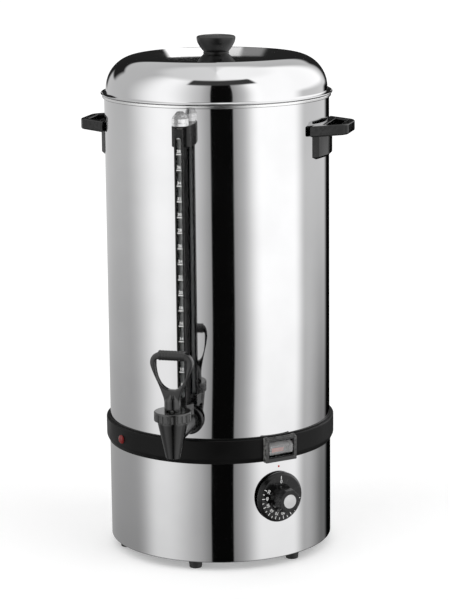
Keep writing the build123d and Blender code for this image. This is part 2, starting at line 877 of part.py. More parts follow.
with BuildPart() as tap_stem:
    with BuildSketch(Plane.XY.offset(seat_z + seat_cup_foot)):
        with Locations((0, tap_y)):
            Circle(stem_radius)
    extrude(amount=pin_z + 2 * stem_radius - seat_z - seat_cup_foot)
    fillet(tap_stem.edges().group_by(Axis.Z)[-1], 1.0)
    with BuildSketch(Plane.YZ.offset(-2 * stem_radius)):
        with Locations((tap_y, pin_z)):
            Circle(pin_radius + stem_fit)
    extrude(amount=4 * stem_radius, mode=Mode.SUBTRACT)

spring_foot_z = seat_z + seat_cup_height + 0.3
spring_height = bonnet_ceiling_z - 0.3 - spring_foot_z - 2 * spring_wire
with BuildPart() as tap_spring:
    with BuildLine() as spring_path:
        Helix(
            spring_height / spring_turns,
            spring_height,
            spring_radius,
            center=(0, tap_y, spring_foot_z + spring_wire),
        )
    with BuildSketch(Plane(spring_path.line @ 0, z_dir=spring_path.line % 0)):
        Circle(spring_wire)
    sweep()

with BuildPart() as tap_handle:
    with BuildSketch(lever_face):
        with BuildLine():
            half_outline = [
                (loop_neck_half, -cam_radius),
                (loop_neck_half, 8.5),
                (loop_half_width - 2.2, 35.5),
                (loop_half_width + 0.4, 54),
                (loop_half_width - 9.2, loop_height - 2.5),
            ]
            FilletPolyline(
                *half_outline,
                *[(-x, z) for x, z in reversed(half_outline)],
                radius=(12, 20, 8, 6, 6, 8, 20, 12),
            )
            Line(half_outline[0], (-loop_neck_half, -cam_radius))
        make_face()
        with BuildLine():
            FilletPolyline(
                *[(side * x, z) for side, x, z in ((-1, 7, 20.8), (1, 7, 20.8), (1, 17.9, 38))],
                (loop_half_width - loop_arm, loop_bar_foot),
                (loop_arm - loop_half_width, loop_bar_foot),
                (-17.9, 38),
                radius=(6, 6, 15, 4, 4, 15),
                close=True,
            )
        make_face(mode=Mode.SUBTRACT)
    extrude(amount=loop_depth / 2, both=True)
    fillet(tap_handle.faces().filter_by(Axis.Y).edges(), loop_edge)
    # The neck is a round boss about the stem with a shoulder up into the loop
    with BuildSketch(Plane.XY.offset(pin_z - cam_radius)):
        with Locations((0, tap_y)):
            Circle(loop_neck_half)
    extrude(amount=cam_radius + boss_top)
    with Locations((0, tap_y, pin_z + boss_top)):
        Cone(loop_neck_half, loop_depth / 2, 7, align=(Align.CENTER, Align.CENTER, Align.MIN))
    # Heel: its lowest point sinks in step with the tilt, so it lifts the pin evenly
    with BuildSketch(lever_side):
        with BuildLine():
            heel = []
            for turn in range(0, int(tap_tilt) + 1, 10):
                low = cam_radius + cam_rate * radians(turn)
                heel.append(
                    (
                        -low * sin(radians(turn)) - cam_rate * cos(radians(turn)),
                        -low * cos(radians(turn)) + cam_rate * sin(radians(turn)),
                    )
                )
            Spline(*heel, tangents=[(-1, 0), (-cos(radians(tap_tilt)), sin(radians(tap_tilt)))])
            Polyline(heel[-1], (-room, 1.5), (-room, -room), (heel[0][0], -room), heel[0])
        make_face()
        with BuildLine():
            Polyline((loop_neck_half - 5, -cam_radius), (loop_neck_half - 5, -room), (room, -room), (room, 0))
            Line((room, 0), (loop_neck_half, 0))
            ThreePointArc(
                (loop_neck_half, 0),
                (loop_neck_half - 1.5, -cam_radius + 1.5),
                (loop_neck_half - 5, -cam_radius),
            )
        make_face()
    extrude(amount=room, both=True, mode=Mode.SUBTRACT)
    # Room for the stem as the loop tilts: open at the foot, closed above
    with BuildSketch(lever_side):
        for turn in (0, tap_tilt / 2, tap_tilt):
            with Locations(Rotation(0, 0, -turn)):
                Rectangle(2 * fork_gap_half, room, align=(Align.CENTER, Align.MAX))
                Rectangle(2 * fork_gap_half, 7, align=(Align.CENTER, Align.MIN))
    extrude(amount=fork_gap_half, both=True, mode=Mode.SUBTRACT)
    with BuildSketch(lever_side):
        Circle(pin_radius)
    extrude(amount=room, both=True, mode=Mode.SUBTRACT)
    # Ribbed grip across the top
    bar_z = pin_z + loop_height - grip_bar_radius
    rib_pitch = 2 * grip_bar_half / grip_bar_ribs
    with BuildSketch(Plane((0, tap_y, bar_z), x_dir=(1, 0, 0), z_dir=(0, -1, 0))):
        with BuildLine():
            ribs = [(-grip_bar_half, 0), (-grip_bar_half, grip_bar_radius - grip_bar_groove)]
            for rib in range(grip_bar_ribs):
                left = -grip_bar_half + rib * rib_pitch
                ribs.append((left + 0.25 * rib_pitch, grip_bar_radius))
                ribs.append((left + 0.75 * rib_pitch, grip_bar_radius))
                ribs.append((left + rib_pitch, grip_bar_radius - grip_bar_groove))
            ribs.append((grip_bar_half, 0))
            Polyline(*ribs, close=True)
        make_face()
    revolve(axis=Axis((0, tap_y, bar_z), (1, 0, 0)))

with BuildPart() as tap_pin:
    with BuildSketch(Plane.YZ.offset(-loop_neck_half + 0.6)):
        with Locations((tap_y, pin_z)):
            Circle(pin_radius)
    extrude(amount=2 * loop_neck_half - 1.2)

# === Level gauge ============================================================================
with BuildPart() as sight_tube:
    with BuildSketch(Plane.XY.offset(tube_foot_z)):
        with Locations((0, gauge_y)):
            Circle(tube_radius)
            Circle(tube_bore, mode=Mode.SUBTRACT)
    extrude(amount=guard_top_z - 3 - tube_foot_z)

with BuildPart() as gauge_lower_seal:
    with BuildSketch(Plane.XY.offset(tube_foot_z)):
        with Locations((0, gauge_y)):
            Circle(grommet_radius - seat_gap)
            Circle(tube_radius + seat_gap, mode=Mode.SUBTRACT)
    extrude(amount=grommet_depth - seat_gap)

with BuildPart() as gauge_lower_nut:
    with BuildSketch(Plane.XY.offset(lower_nut_z)):
        with Locations((0, gauge_y)):
            RegularPolygon(lower_nut_radius, 6)
            Circle(tube_radius + screw_clearance, mode=Mode.SUBTRACT)
    extrude(amount=lower_nut_height)
    with BuildSketch(Plane.XY.offset(lower_nut_z)):
        with Locations((0, gauge_y)):
            Circle(boss_radius + seat_gap)
    extrude(amount=lower_nut_overlap, mode=Mode.SUBTRACT)

with BuildPart() as gauge_guard:
    with BuildSketch(Plane.XY.offset(guard_foot_z)):
        with Locations((0, -guard_front)):
            Rectangle(guard_width, guard_depth, align=(Align.CENTER, Align.MIN))
        with Locations((0, -guard_front + guard_wall)):
            Rectangle(
                guard_width - 2 * guard_wall,
                guard_depth,
                align=(Align.CENTER, Align.MIN),
                mode=Mode.SUBTRACT,
            )
    extrude(amount=guard_top_z - guard_foot_z)
    front_corners = gauge_guard.edges().filter_by(Axis.Z).sort_by(Axis.Y)[0:2]
    fillet(front_corners, 1.2)
    slit_foot_z = guard_foot_z + slit_foot_rise
    slit_top_z = guard_top_z - slit_top_drop
    with BuildSketch(outward(0, guard_front - guard_depth / 2, (slit_foot_z + slit_top_z) / 2)):
        SlotOverall(slit_top_z - slit_foot_z, slit_width, rotation=90)
    extrude(amount=guard_depth, mode=Mode.SUBTRACT)

with BuildPart() as gauge_top_bracket:
    with BuildSketch(Plane.XY.offset(bracket_z)):
        with Locations((0, -body_radius - bracket_reach)):
            Rectangle(bracket_width, bracket_reach + 4, align=(Align.CENTER, Align.MIN))
    extrude(amount=bracket_height)
    bracket_front = gauge_top_bracket.edges().filter_by(Axis.Z).sort_by(Axis.Y)[0:2]
    fillet(bracket_front, bracket_corner)
    hollow_round(body_radius + seat_gap)
    with BuildSketch(Plane.XY.offset(bracket_z)):
        with Locations((0, -guard_front + guard_depth + 0.2)):
            Rectangle(guard_width + 0.3, 2 * guard_depth, align=(Align.CENTER, Align.MAX))
    extrude(amount=bracket_height - bracket_roof, mode=Mode.SUBTRACT)
    with BuildSketch(Plane.XY.offset(bracket_top_z)):
        with Locations((0, gauge_y)):
            Circle(cap_stem_radius + seat_gap)
    extrude(amount=-bracket_roof, mode=Mode.SUBTRACT)
    round_hole(
        0,
        bracket_z + bracket_height / 2,
        bracket_screw_radius + seat_gap,
        body_radius - 5,
        5 + bracket_screw_reach,
    )

with BuildPart() as gauge_bracket_screw:
    with BuildSketch(outward(0, body_radius - shell_wall - 2.2, bracket_z + bracket_height / 2)):
        Circle(2 * bracket_screw_radius)
    extrude(amount=2.1)
    with BuildSketch(outward(0, body_radius - shell_wall - 2.2, bracket_z + bracket_height / 2)):
        Circle(bracket_screw_radius)
    extrude(amount=2.2 + shell_wall + bracket_screw_reach - 1)

with BuildPart() as gauge_top_seal:
    with BuildSketch(Plane.XY.offset(guard_top_z - 3)):
        with Locations((0, gauge_y)):
            Circle(tube_radius)
            Circle(cap_stem_radius + seat_gap, mode=Mode.SUBTRACT)
    extrude(amount=3.2)

with BuildPart() as gauge_cap:
    facet_levels = [(0, 0.94), (0.09, 1.0), (0.52, 1.0), (0.76, 0.76), (1.0, 0.34)]
    for level in range(len(facet_levels) - 1):
        for rise, share in facet_levels[level : level + 2]:
            with BuildSketch(Plane.XY.offset(bracket_top_z + rise * cap_height)):
                with Locations((0, gauge_y)):
                    RegularPolygon(share * cap_radius, cap_sides)
        loft(ruled=True)
    with BuildSketch(Plane.XY.offset(bracket_top_z)):
        with Locations((0, gauge_y)):
            Circle(cap_stem_radius)
    extrude(amount=-(bracket_roof + 6))

# === Thermostat =============================================================================
with BuildPart() as dial_knob:
    with BuildSketch(outward(control_azimuth, dial_plane, dial_z)):
        Circle(skirt_radius)
    extrude(amount=skirt_edge)
    with BuildSketch(outward(control_azimuth, dial_plane + skirt_edge, dial_z)):
        Circle(skirt_radius)
    with BuildSketch(outward(control_azimuth, skirt_front, dial_z)):
        Circle(skirt_face_radius)
    loft()
    with BuildSketch(outward(control_azimuth, skirt_front, dial_z)):
        RegularPolygon(hub_foot_radius, hub_sides, rotation=180 / hub_sides)
    with BuildSketch(outward(control_azimuth, skirt_front + hub_height, dial_z)):
        RegularPolygon(hub_top_radius, hub_sides, rotation=180 / hub_sides)
    loft()
    with BuildSketch(outward(control_azimuth, dial_plane, dial_z)):
        Circle(skirt_hollow_radius)
        Circle(2 * shaft_radius, mode=Mode.SUBTRACT)
    extrude(amount=skirt_hollow_depth, mode=Mode.SUBTRACT)
    with BuildSketch(outward(control_azimuth, skirt_front + hub_height, dial_z)):
        Circle(dial_cap_radius + seat_gap)
    extrude(amount=-dial_cap_sunk, mode=Mode.SUBTRACT)
    with BuildSketch(outward(control_azimuth, dial_plane, dial_z)):
        Circle(shaft_radius + seat_gap)
    extrude(amount=skirt_height + hub_height / 2, mode=Mode.SUBTRACT)

with BuildPart() as dial_cap:
    with BuildSketch(outward(control_azimuth, skirt_front + hub_height - dial_cap_sunk, dial_z)):
        Circle(dial_cap_radius)
    extrude(amount=dial_cap_thickness)
    fillet(dial_cap.faces().sort_by(Axis((0, 0, 0), (1, -1, 0)))[-1].edges(), 0.5)

shaft_tip = skirt_front + hub_height / 2 - 0.5
with BuildPart() as thermostat_shaft:
    with BuildSketch(outward(control_azimuth, shaft_tip - shaft_length, dial_z)):
        Circle(shaft_radius)
    extrude(amount=shaft_length)

with BuildPart() as thermostat_body:
    with BuildSketch(outward(control_azimuth, bracket_plane - thermostat_deep, dial_z)):
        Rectangle(thermostat_width, thermostat_tall)
    extrude(amount=thermostat_deep)
    with BuildSketch(outward(control_azimuth, bracket_plane, dial_z)):
        Circle(thermostat_neck_radius)
    extrude(amount=thermostat_neck_length)
    with BuildSketch(outward(control_azimuth, shaft_tip - shaft_length - 0.3, dial_z)):
        Circle(shaft_radius + shaft_fit)
    extrude(amount=shaft_length, mode=Mode.SUBTRACT)

with BuildPart() as thermostat_nut:
    with BuildSketch(outward(control_azimuth, bracket_plane + bracket_plate, dial_z)):
        RegularPolygon(thermostat_nut_radius, 6)
        Circle(thermostat_neck_radius + seat_gap, mode=Mode.SUBTRACT)
    extrude(amount=thermostat_nut_height)

with BuildPart() as thermostat_bracket:
    bracket_tall = dial_z + thermostat_tall / 2 - plate_top_z
    with BuildSketch(outward(control_azimuth, bracket_plane, plate_top_z + bracket_tall / 2)):
        Rectangle(thermostat_width + 6, bracket_tall)
    extrude(amount=bracket_plate)
    with BuildSketch(outward(control_azimuth, bracket_plane - bracket_foot, plate_top_z + bracket_plate / 2)):
        Rectangle(thermostat_width + 6, bracket_plate)
    extrude(amount=bracket_foot)
    round_hole(control_azimuth, dial_z, thermostat_neck_radius + seat_gap)

body_top = outward(control_azimuth, bracket_plane - thermostat_deep / 2, dial_z + thermostat_tall / 2)
with BuildPart() as capillary_tube:
    with BuildLine() as capillary_path:
        FilletPolyline(
            (bulb_length / 2, bulb_offset, bulb_z),
            (bulb_length / 2 + 14, bulb_offset, bulb_z),
            (bulb_length / 2 + 26, bulb_offset - 26, bulb_z - 22),
            (bulb_length / 2 + 42, bulb_offset - 70, bulb_z - 26),
            (body_top.origin.X, body_top.origin.Y, bulb_z - 22),
            (body_top.origin.X, body_top.origin.Y, body_top.origin.Z),
            radius=(8, 14, 22, 8),
        )
    with BuildSketch(Plane(capillary_path.line @ 0, z_dir=capillary_path.line % 0)):
        Circle(capillary_radius)
    sweep()

# === Rocker switch ==========================================================================
with BuildPart() as switch_frame:
    with BuildSketch(outward(control_azimuth, band_radius - 5, controls_z)):
        Rectangle(frame_width, band_height)
    extrude(amount=frame_proud + 5)
    fillet(switch_frame.edges().filter_by(Axis.Z), 0.8)
    rib_step = frame_proud / frame_rib_count
    for rib in range(frame_rib_count):
        rib_plane = frame_plane - (rib + 0.5) * rib_step - rib_step / 3
        with BuildSketch(outward(control_azimuth, rib_plane, controls_z + band_height / 2)):
            Rectangle(frame_width - 2, 2 * frame_rib_height)
        extrude(amount=rib_step / 2)
    hollow_round(band_radius + seat_gap)
    with BuildSketch(outward(control_azimuth, band_radius - 10, controls_z)):
        Rectangle(switch_width + 2 * seat_gap, switch_tall + 2 * seat_gap)
    extrude(amount=40, mode=Mode.SUBTRACT)

with BuildPart() as switch_housing:
    with BuildSketch(outward(control_azimuth, switch_plane - switch_deep, controls_z)):
        Rectangle(switch_width, switch_tall)
    extrude(amount=switch_deep)
    with BuildSketch(outward(control_azimuth, switch_plane, controls_z)):
        Rectangle(switch_width - 2 * switch_wall, switch_tall - 2 * switch_wall)
    extrude(amount=-(rocker_pivot_depth + rocker_half + 1), mode=Mode.SUBTRACT)
    peg_hole = outward(control_azimuth, rocker_plane, controls_z)
    with BuildSketch(Plane(peg_hole.origin, x_dir=peg_hole.z_dir, z_dir=peg_hole.x_dir)):
        Circle(peg_radius + shaft_fit)
    extrude(amount=switch_width, both=True, mode=Mode.SUBTRACT)

rocker_frame = outward(control_azimuth, rocker_plane, controls_z)
rocker_side = Plane(rocker_frame.origin, x_dir=rocker_frame.z_dir, z_dir=rocker_frame.x_dir)
insert_side = rocker_side.offset(insert_shift)
rocker_length = switch_width - 2 * switch_wall - 2 * rocker_gap
with BuildPart() as switch_rocker:
    with BuildSketch(rocker_side):
        with Locations(Rotation(0, 0, rocker_rest_tilt)):
            Polygon(
                (-rocker_back, -rocker_back_half),
                (rocker_shoulder, -rocker_half),
                (rocker_front, -rocker_face_half),
                (rocker_front, rocker_face_half),
                (rocker_shoulder, rocker_half),
                (-rocker_back, rocker_back_half),
                align=None,
            )
    extrude(amount=rocker_length / 2, both=True)
    fillet(switch_rocker.edges().filter_by(GeomType.LINE).sort_by(SortBy.LENGTH)[-6:], 0.6)
    with BuildSketch(rocker_side):
        Circle(peg_radius)
    extrude(amount=rocker_length / 2 + rocker_gap + peg_length, both=True)
    with BuildSketch(insert_side):
        with Locations(Rotation(0, 0, rocker_rest_tilt)):
            with Locations((rocker_front - insert_skin, 0)):
                Rectangle(insert_deep + 0.1, insert_tall + 0.2, align=(Align.MAX, Align.CENTER))
    extrude(amount=insert_width / 2 + 0.1, both=True, mode=Mode.SUBTRACT)

with BuildPart() as rocker_insert:
    with BuildSketch(insert_side):
        with Locations(Rotation(0, 0, rocker_rest_tilt)):
            with Locations((rocker_front - insert_skin - 0.05, 0)):
                Rectangle(insert_deep, insert_tall, align=(Align.MAX, Align.CENTER))
    extrude(amount=insert_width / 2, both=True)

# === Pilot lamp =============================================================================
lamp_front = band_radius + 0.1
with BuildPart() as pilot_lens:
    with BuildSketch(outward(lamp_azimuth, band_radius - 5, controls_z)):
        Circle(lamp_stem_radius)
    extrude(amount=5.1)
    with BuildSketch(outward(lamp_azimuth, lamp_front, controls_z)):
        Circle(lamp_lens_radius)
    extrude(amount=lamp_rim)
    with BuildSketch(outward(lamp_azimuth, lamp_front + lamp_rim, controls_z)):
        Circle(lamp_lens_radius)
    extrude(amount=lamp_dome)
    lens_way = Axis((0, 0, 0), outward(lamp_azimuth, 1, 0).z_dir)
    fillet(pilot_lens.faces().sort_by(lens_way)[-1].edges(), lamp_dome - 0.1)

with BuildPart() as pilot_body:
    with BuildSketch(outward(lamp_azimuth, band_radius - 5 - lamp_body_length, controls_z)):
        Circle(lamp_body_radius)
    extrude(amount=lamp_body_length)

# === Appliance inlet ========================================================================
inlet_front = base_radius + inlet_proud
with BuildPart() as appliance_inlet:
    with BuildSketch(outward(inlet_azimuth, base_radius - 4, inlet_z)):
        RectangleRounded(*inlet_flange, 3)
    extrude(amount=inlet_proud + 4)
    hollow_round(base_radius + seat_gap)
    with BuildSketch(outward(inlet_azimuth, inlet_front - inlet_body_deep, inlet_z)):
        Rectangle(*inlet_body)
    extrude(amount=inlet_body_deep)
    with BuildSketch(outward(inlet_azimuth, inlet_front, inlet_z)):
        Rectangle(*inlet_socket)
    extrude(amount=-inlet_socket_deep, mode=Mode.SUBTRACT)
    with BuildSketch(outward(inlet_azimuth, inlet_front, inlet_z)):
        with GridLocations(2 * inlet_screw_spread, 1, 2, 1):
            Circle(inlet_screw_radius + seat_gap)
    extrude(amount=-inlet_screw_reach, mode=Mode.SUBTRACT)
    pin_places = [
        (-inlet_pin_spread, -inlet_pin_step),
        (inlet_pin_spread, -inlet_pin_step),
        (0, inlet_pin_step),
    ]
    with BuildSketch(outward(inlet_azimuth, inlet_front - inlet_socket_deep, inlet_z)):
        with Locations(*pin_places):
            Rectangle(*inlet_pin)
    extrude(amount=-inlet_body_deep, mode=Mode.SUBTRACT)

with BuildPart() as inlet_pins:
    with BuildSketch(outward(inlet_azimuth, inlet_front - inlet_socket_deep + inlet_pin_reach, inlet_z)):
        with Locations(*pin_places):
            Rectangle(inlet_pin[0] - 2 * seat_gap, inlet_pin[1] - 2 * seat_gap)
    extrude(amount=-inlet_pin_reach - inlet_pin_tail)

with BuildPart() as inlet_screws:
    with BuildSketch(outward(inlet_azimuth, inlet_front, inlet_z)):
        with GridLocations(2 * inlet_screw_spread, 1, 2, 1):
            Circle(inlet_screw_head)
    extrude(amount=inlet_screw_head_height)
    with BuildSketch(outward(inlet_azimuth, inlet_front, inlet_z)):
        with GridLocations(2 * inlet_screw_spread, 1, 2, 1):
            Circle(inlet_screw_radius)
    extrude(amount=-inlet_screw_reach + 0.5)

# === Output =================================================================================
pieces = {
    "inner_tank": inner_tank,
    "outer_shell": outer_shell,
    "band_ring": band_ring,
    "base_shell": base_shell,
    "bottom_plate": bottom_plate,
    "tank_support_ring": tank_support_ring,
    "feet": feet,
    "foot_screws": foot_screws,
    "foot_nuts": foot_nuts,
    "tie_rod": tie_rod,
    "tie_nut": tie_nut,
    "heater_plate": heater_plate,
    "heating_element": heating_element,
    "thermal_cutout": thermal_cutout,
    "sensor_bulb": sensor_bulb,
    "terminal_block": terminal_block,
    "lid_dome": lid_dome,
    "lid_locating_ring": lid_locating_ring,
    "lid_knob": lid_knob,
    "lid_knob_washer": lid_knob_washer,
    "lid_knob_screw": lid_knob_screw,
    "handle_right": handle_right,
    "handle_left": handle_left,
    "handle_screws": handle_screws,
    "tap_body": tap_body,
    "tap_collar": tap_collar,
    "tap_outer_washer": tap_outer_washer,
    "tap_spacer": tap_spacer,
    "tap_inner_washer": tap_inner_washer,
    "tap_back_nut": tap_back_nut,
    "tap_bonnet": tap_bonnet,
    "tap_seat": tap_seat,
    "tap_stem": tap_stem,
    "tap_spring": tap_spring,
    "tap_handle": tap_handle,
    "tap_pin": tap_pin,
    "sight_tube": sight_tube,
    "gauge_lower_seal": gauge_lower_seal,
    "gauge_lower_nut": gauge_lower_nut,
    "gauge_guard": gauge_guard,
    "gauge_top_bracket": gauge_top_bracket,
    "gauge_bracket_screw": gauge_bracket_screw,
    "gauge_top_seal": gauge_top_seal,
    "gauge_cap": gauge_cap,
    "dial_knob": dial_knob,
    "dial_cap": dial_cap,
    "thermostat_shaft": thermostat_shaft,
    "thermostat_body": thermostat_body,
    "thermostat_nut": thermostat_nut,
    "thermostat_bracket": thermostat_bracket,
    "capillary_tube": capillary_tube,
    "switch_frame": switch_frame,
    "switch_housing": switch_housing,
    "switch_rocker": switch_rocker,
    "rocker_insert": rocker_insert,
    "pilot_lens": pilot_lens,
    "pilot_body": pilot_body,
    "appliance_inlet": appliance_inlet,
    "inlet_pins": inlet_pins,
    "inlet_screws": inlet_screws,
}

front_reach = body_radius + tap_reach + bonnet_radius
back_reach = inlet_front + inlet_screw_head_height
axis_y = (front_reach - back_reach) / 2

os.makedirs("parts", exist_ok=True)
for name, piece in pieces.items():
    piece.part.move(Location((0, axis_y, 0)))
    piece.part.label = name
    export_step(piece.part, f"parts/{name}.step")
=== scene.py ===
import logging
import math
from collections.abc import Callable, Sequence
from dataclasses import dataclass, field
from enum import Enum

import bmesh
import bpy
from mathutils import Matrix, Vector


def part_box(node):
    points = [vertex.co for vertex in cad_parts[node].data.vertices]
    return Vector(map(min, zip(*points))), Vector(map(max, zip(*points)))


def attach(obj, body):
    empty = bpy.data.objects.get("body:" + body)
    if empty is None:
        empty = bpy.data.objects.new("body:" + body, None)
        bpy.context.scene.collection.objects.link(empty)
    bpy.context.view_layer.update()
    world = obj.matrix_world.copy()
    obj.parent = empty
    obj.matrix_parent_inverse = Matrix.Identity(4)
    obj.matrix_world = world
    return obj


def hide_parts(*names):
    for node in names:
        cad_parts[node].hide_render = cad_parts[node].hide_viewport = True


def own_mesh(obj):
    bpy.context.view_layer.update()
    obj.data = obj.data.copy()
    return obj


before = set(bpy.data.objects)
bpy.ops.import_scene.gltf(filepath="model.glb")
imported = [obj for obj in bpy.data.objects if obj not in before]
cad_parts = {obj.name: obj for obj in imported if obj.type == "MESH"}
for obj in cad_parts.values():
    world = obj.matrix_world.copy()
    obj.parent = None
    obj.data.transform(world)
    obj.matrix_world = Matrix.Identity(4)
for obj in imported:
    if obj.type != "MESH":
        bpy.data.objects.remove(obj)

# Hot water urn: polished double-walled barrel on a heated base, lift-off lid, side handles,
# level gauge, lever tap, thermostat knob, rocker switch and pilot lamp.
# Shapes are drawn in millimetres about the barrel's upright axis, with the tap towards -Y,
# and go to metres in the row frame when they are finished.

LOG = logging.getLogger("urn")
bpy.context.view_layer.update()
SHELL_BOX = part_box("outer_shell")
AXIS_Y = (SHELL_BOX[0].y + SHELL_BOX[1].y) / 2
TO_FRAME = Matrix.Translation((0, AXIS_Y, 0)) @ Matrix.Scale(0.001, 4)
FINE = 1e-4
ROUND = 256
CONTROLS_AZIMUTH = 45.0
LAMP_AZIMUTH = -43.0
CONTROLS_Z = 153.15
LAMP_HOLE = 5.2
SWITCH_WINDOW = (37.1, 23.4)

Colour = tuple[float, float, float, float]


def upright(x: float = 0.0, y: float = 0.0, z: float = 0.0) -> Matrix:
    """Matrix that moves an upright shape to its place."""
    return Matrix.Translation((x, y, z))


def rotated(degrees: float, axis: str) -> Matrix:
    """Matrix that turns a shape about an axis through the origin."""
    return Matrix.Rotation(math.radians(degrees), 4, axis)


def round_turns(count: int) -> list[Matrix]:
    """Turns about the upright axis that share out a full circle."""
    return [Matrix.Rotation(math.tau * k / count, 4, "Z") for k in range(count)]


def outward(azimuth: float, distance: float, z: float) -> Matrix:
    """Matrix for a shape drawn in front view, to stand facing away from the barrel.

    Args:
        azimuth: degrees from the front, positive towards +X.
        distance: how far the drawing plane stands from the barrel's axis.
        z: height of the drawing's origin.

    Returns:
        A matrix that keeps x to the right and z up, seen from outside.
    """
    return rotated(azimuth, "Z") @ Matrix.Translation((0, -distance, z))


def facing(azimuth: float, distance: float, z: float) -> Matrix:
    """Matrix for a turned shape, so that its upright axis points away from the barrel."""
    return outward(azimuth, distance, z) @ rotated(90, "X")


def linked(name: str, data: bpy.types.ID) -> bpy.types.Object:
    """Make an object of some data, and link it to the scene."""
    thing = bpy.data.objects.new(name, data)
    bpy.context.scene.collection.objects.link(thing)
    return thing


class Body(Enum):
    """The bodies of the frame that pieces ride on."""

    URN = "urn"
    LID = "lid"
    LEVER = "tap_lever"
    DIAL = "dial"
    ROCKER = "rocker"


class Slot(Enum):
    """Material slot names that each piece is handed; no piece reads them, and its finish comes from its look.
    """

    POLISHED_STEEL = "polished_steel"
    PLATED_STEEL = "plated_steel"
    SPRING_STEEL = "spring_steel"
    COPPER_BRASS = "copper_brass"
    BLACK_PLASTIC = "black_plastic"
    BLACK_GLOSS = "black_gloss"
    WHITE_PLASTIC = "white_plastic"
    BLACK_RUBBER = "black_rubber"
    TUBE_GLASS = "tube_glass"
    CLEAR_PLASTIC = "clear_plastic"
    RED_INSERT = "red_insert"
    RED_LENS = "red_lens"


# --- Drawing and mesh tools ------------------------------------------------------------------


class Outline:
    """A line of edges drawn point by point in front view: u to the right, v up."""

    def __init__(self, u: float, v: float) -> None:
        """Start the line at (u, v)."""
        self.bm = bmesh.new()
        self.first = self.bm.verts.new((u, 0.0, v))
        self.last = self.first
        self.corners: list[tuple[bmesh.types.BMVert, float, int]] = []

    def to(self, u: float, v: float, cut: float = 0.0, steps: int = 5) -> "Outline":
        """Draw a straight run.

        Args:
            u: where the run ends, across.
            v: where the run ends, up.
            cut: how much of each run the rounding of the corner there takes.
            steps: edges in that rounding.

        Returns:
            The same outline.
        """
        vert = self.bm.verts.new((u, 0.0, v))
        self.bm.edges.new((self.last, vert))
        self.last = vert
        if cut:
            self.corners.append((vert, cut, steps))
        return self

    def sweep(self, u: float, v: float, turn: float, steps: int) -> "Outline":
        """Carry the line on round a centre.

        Args:
            u: centre, across.
            v: centre, up.
            turn: degrees, anticlockwise when positive.
            steps: edges in the arc.

        Returns:
            The same outline.
        """
        spun = bmesh.ops.spin(
            self.bm,
            geom=[self.last],
            cent=(u, 0.0, v),
            axis=(0.0, -1.0, 0.0),
            dvec=(0.0, 0.0, 0.0),
            angle=math.radians(turn),
            steps=steps,
            use_duplicate=False,
        )
        self.last = next(g for g in spun["geom_last"] if isinstance(g, bmesh.types.BMVert))
        return self

    def close(self, cut: float = 0.0, steps: int = 5) -> "Outline":
        """Join the end to the start, and round the starting corner if cut is given."""
        if (self.first.co - self.last.co).length < FINE:
            bmesh.ops.weld_verts(self.bm, targetmap={self.last: self.first})
        else:
            self.bm.edges.new((self.last, self.first))
        if cut:
            self.corners.append((self.first, cut, steps))
        return self

    def done(self) -> bmesh.types.BMesh:
        """Round the corners and hand over the edges."""
        for vert, cut, steps in self.corners:
            bmesh.ops.bevel(
                self.bm,
                geom=[vert],
                offset=cut,
                offset_type="OFFSET",
                segments=steps,
                profile=0.5,
                affect="VERTICES",
                material=-1,
            )
        self.corners = []
        return self.bm


def oblong(width: float, height: float, cut: float = 0.0, u: float = 0.0, v: float = 0.0) -> Outline:
    """Outline of a rectangle about (u, v), with rounded corners if cut is given."""
    w = width / 2
    h = height / 2
    line = Outline(u - w, v - h).to(u + w, v - h, cut).to(u + w, v + h, cut).to(u - w, v + h, cut)
    return line.close(cut)


def slot_hole(length: float, width: float, u: float = 0.0, v: float = 0.0) -> Outline:
    """Outline of an upright slot with round ends about (u, v)."""
    half = (length - width) / 2
    side = width / 2
    line = Outline(u + side, v - half).to(u + side, v + half).sweep(u, v + half, 180, 12)
    return line.to(u - side, v - half).sweep(u, v - half, 180, 12).close()


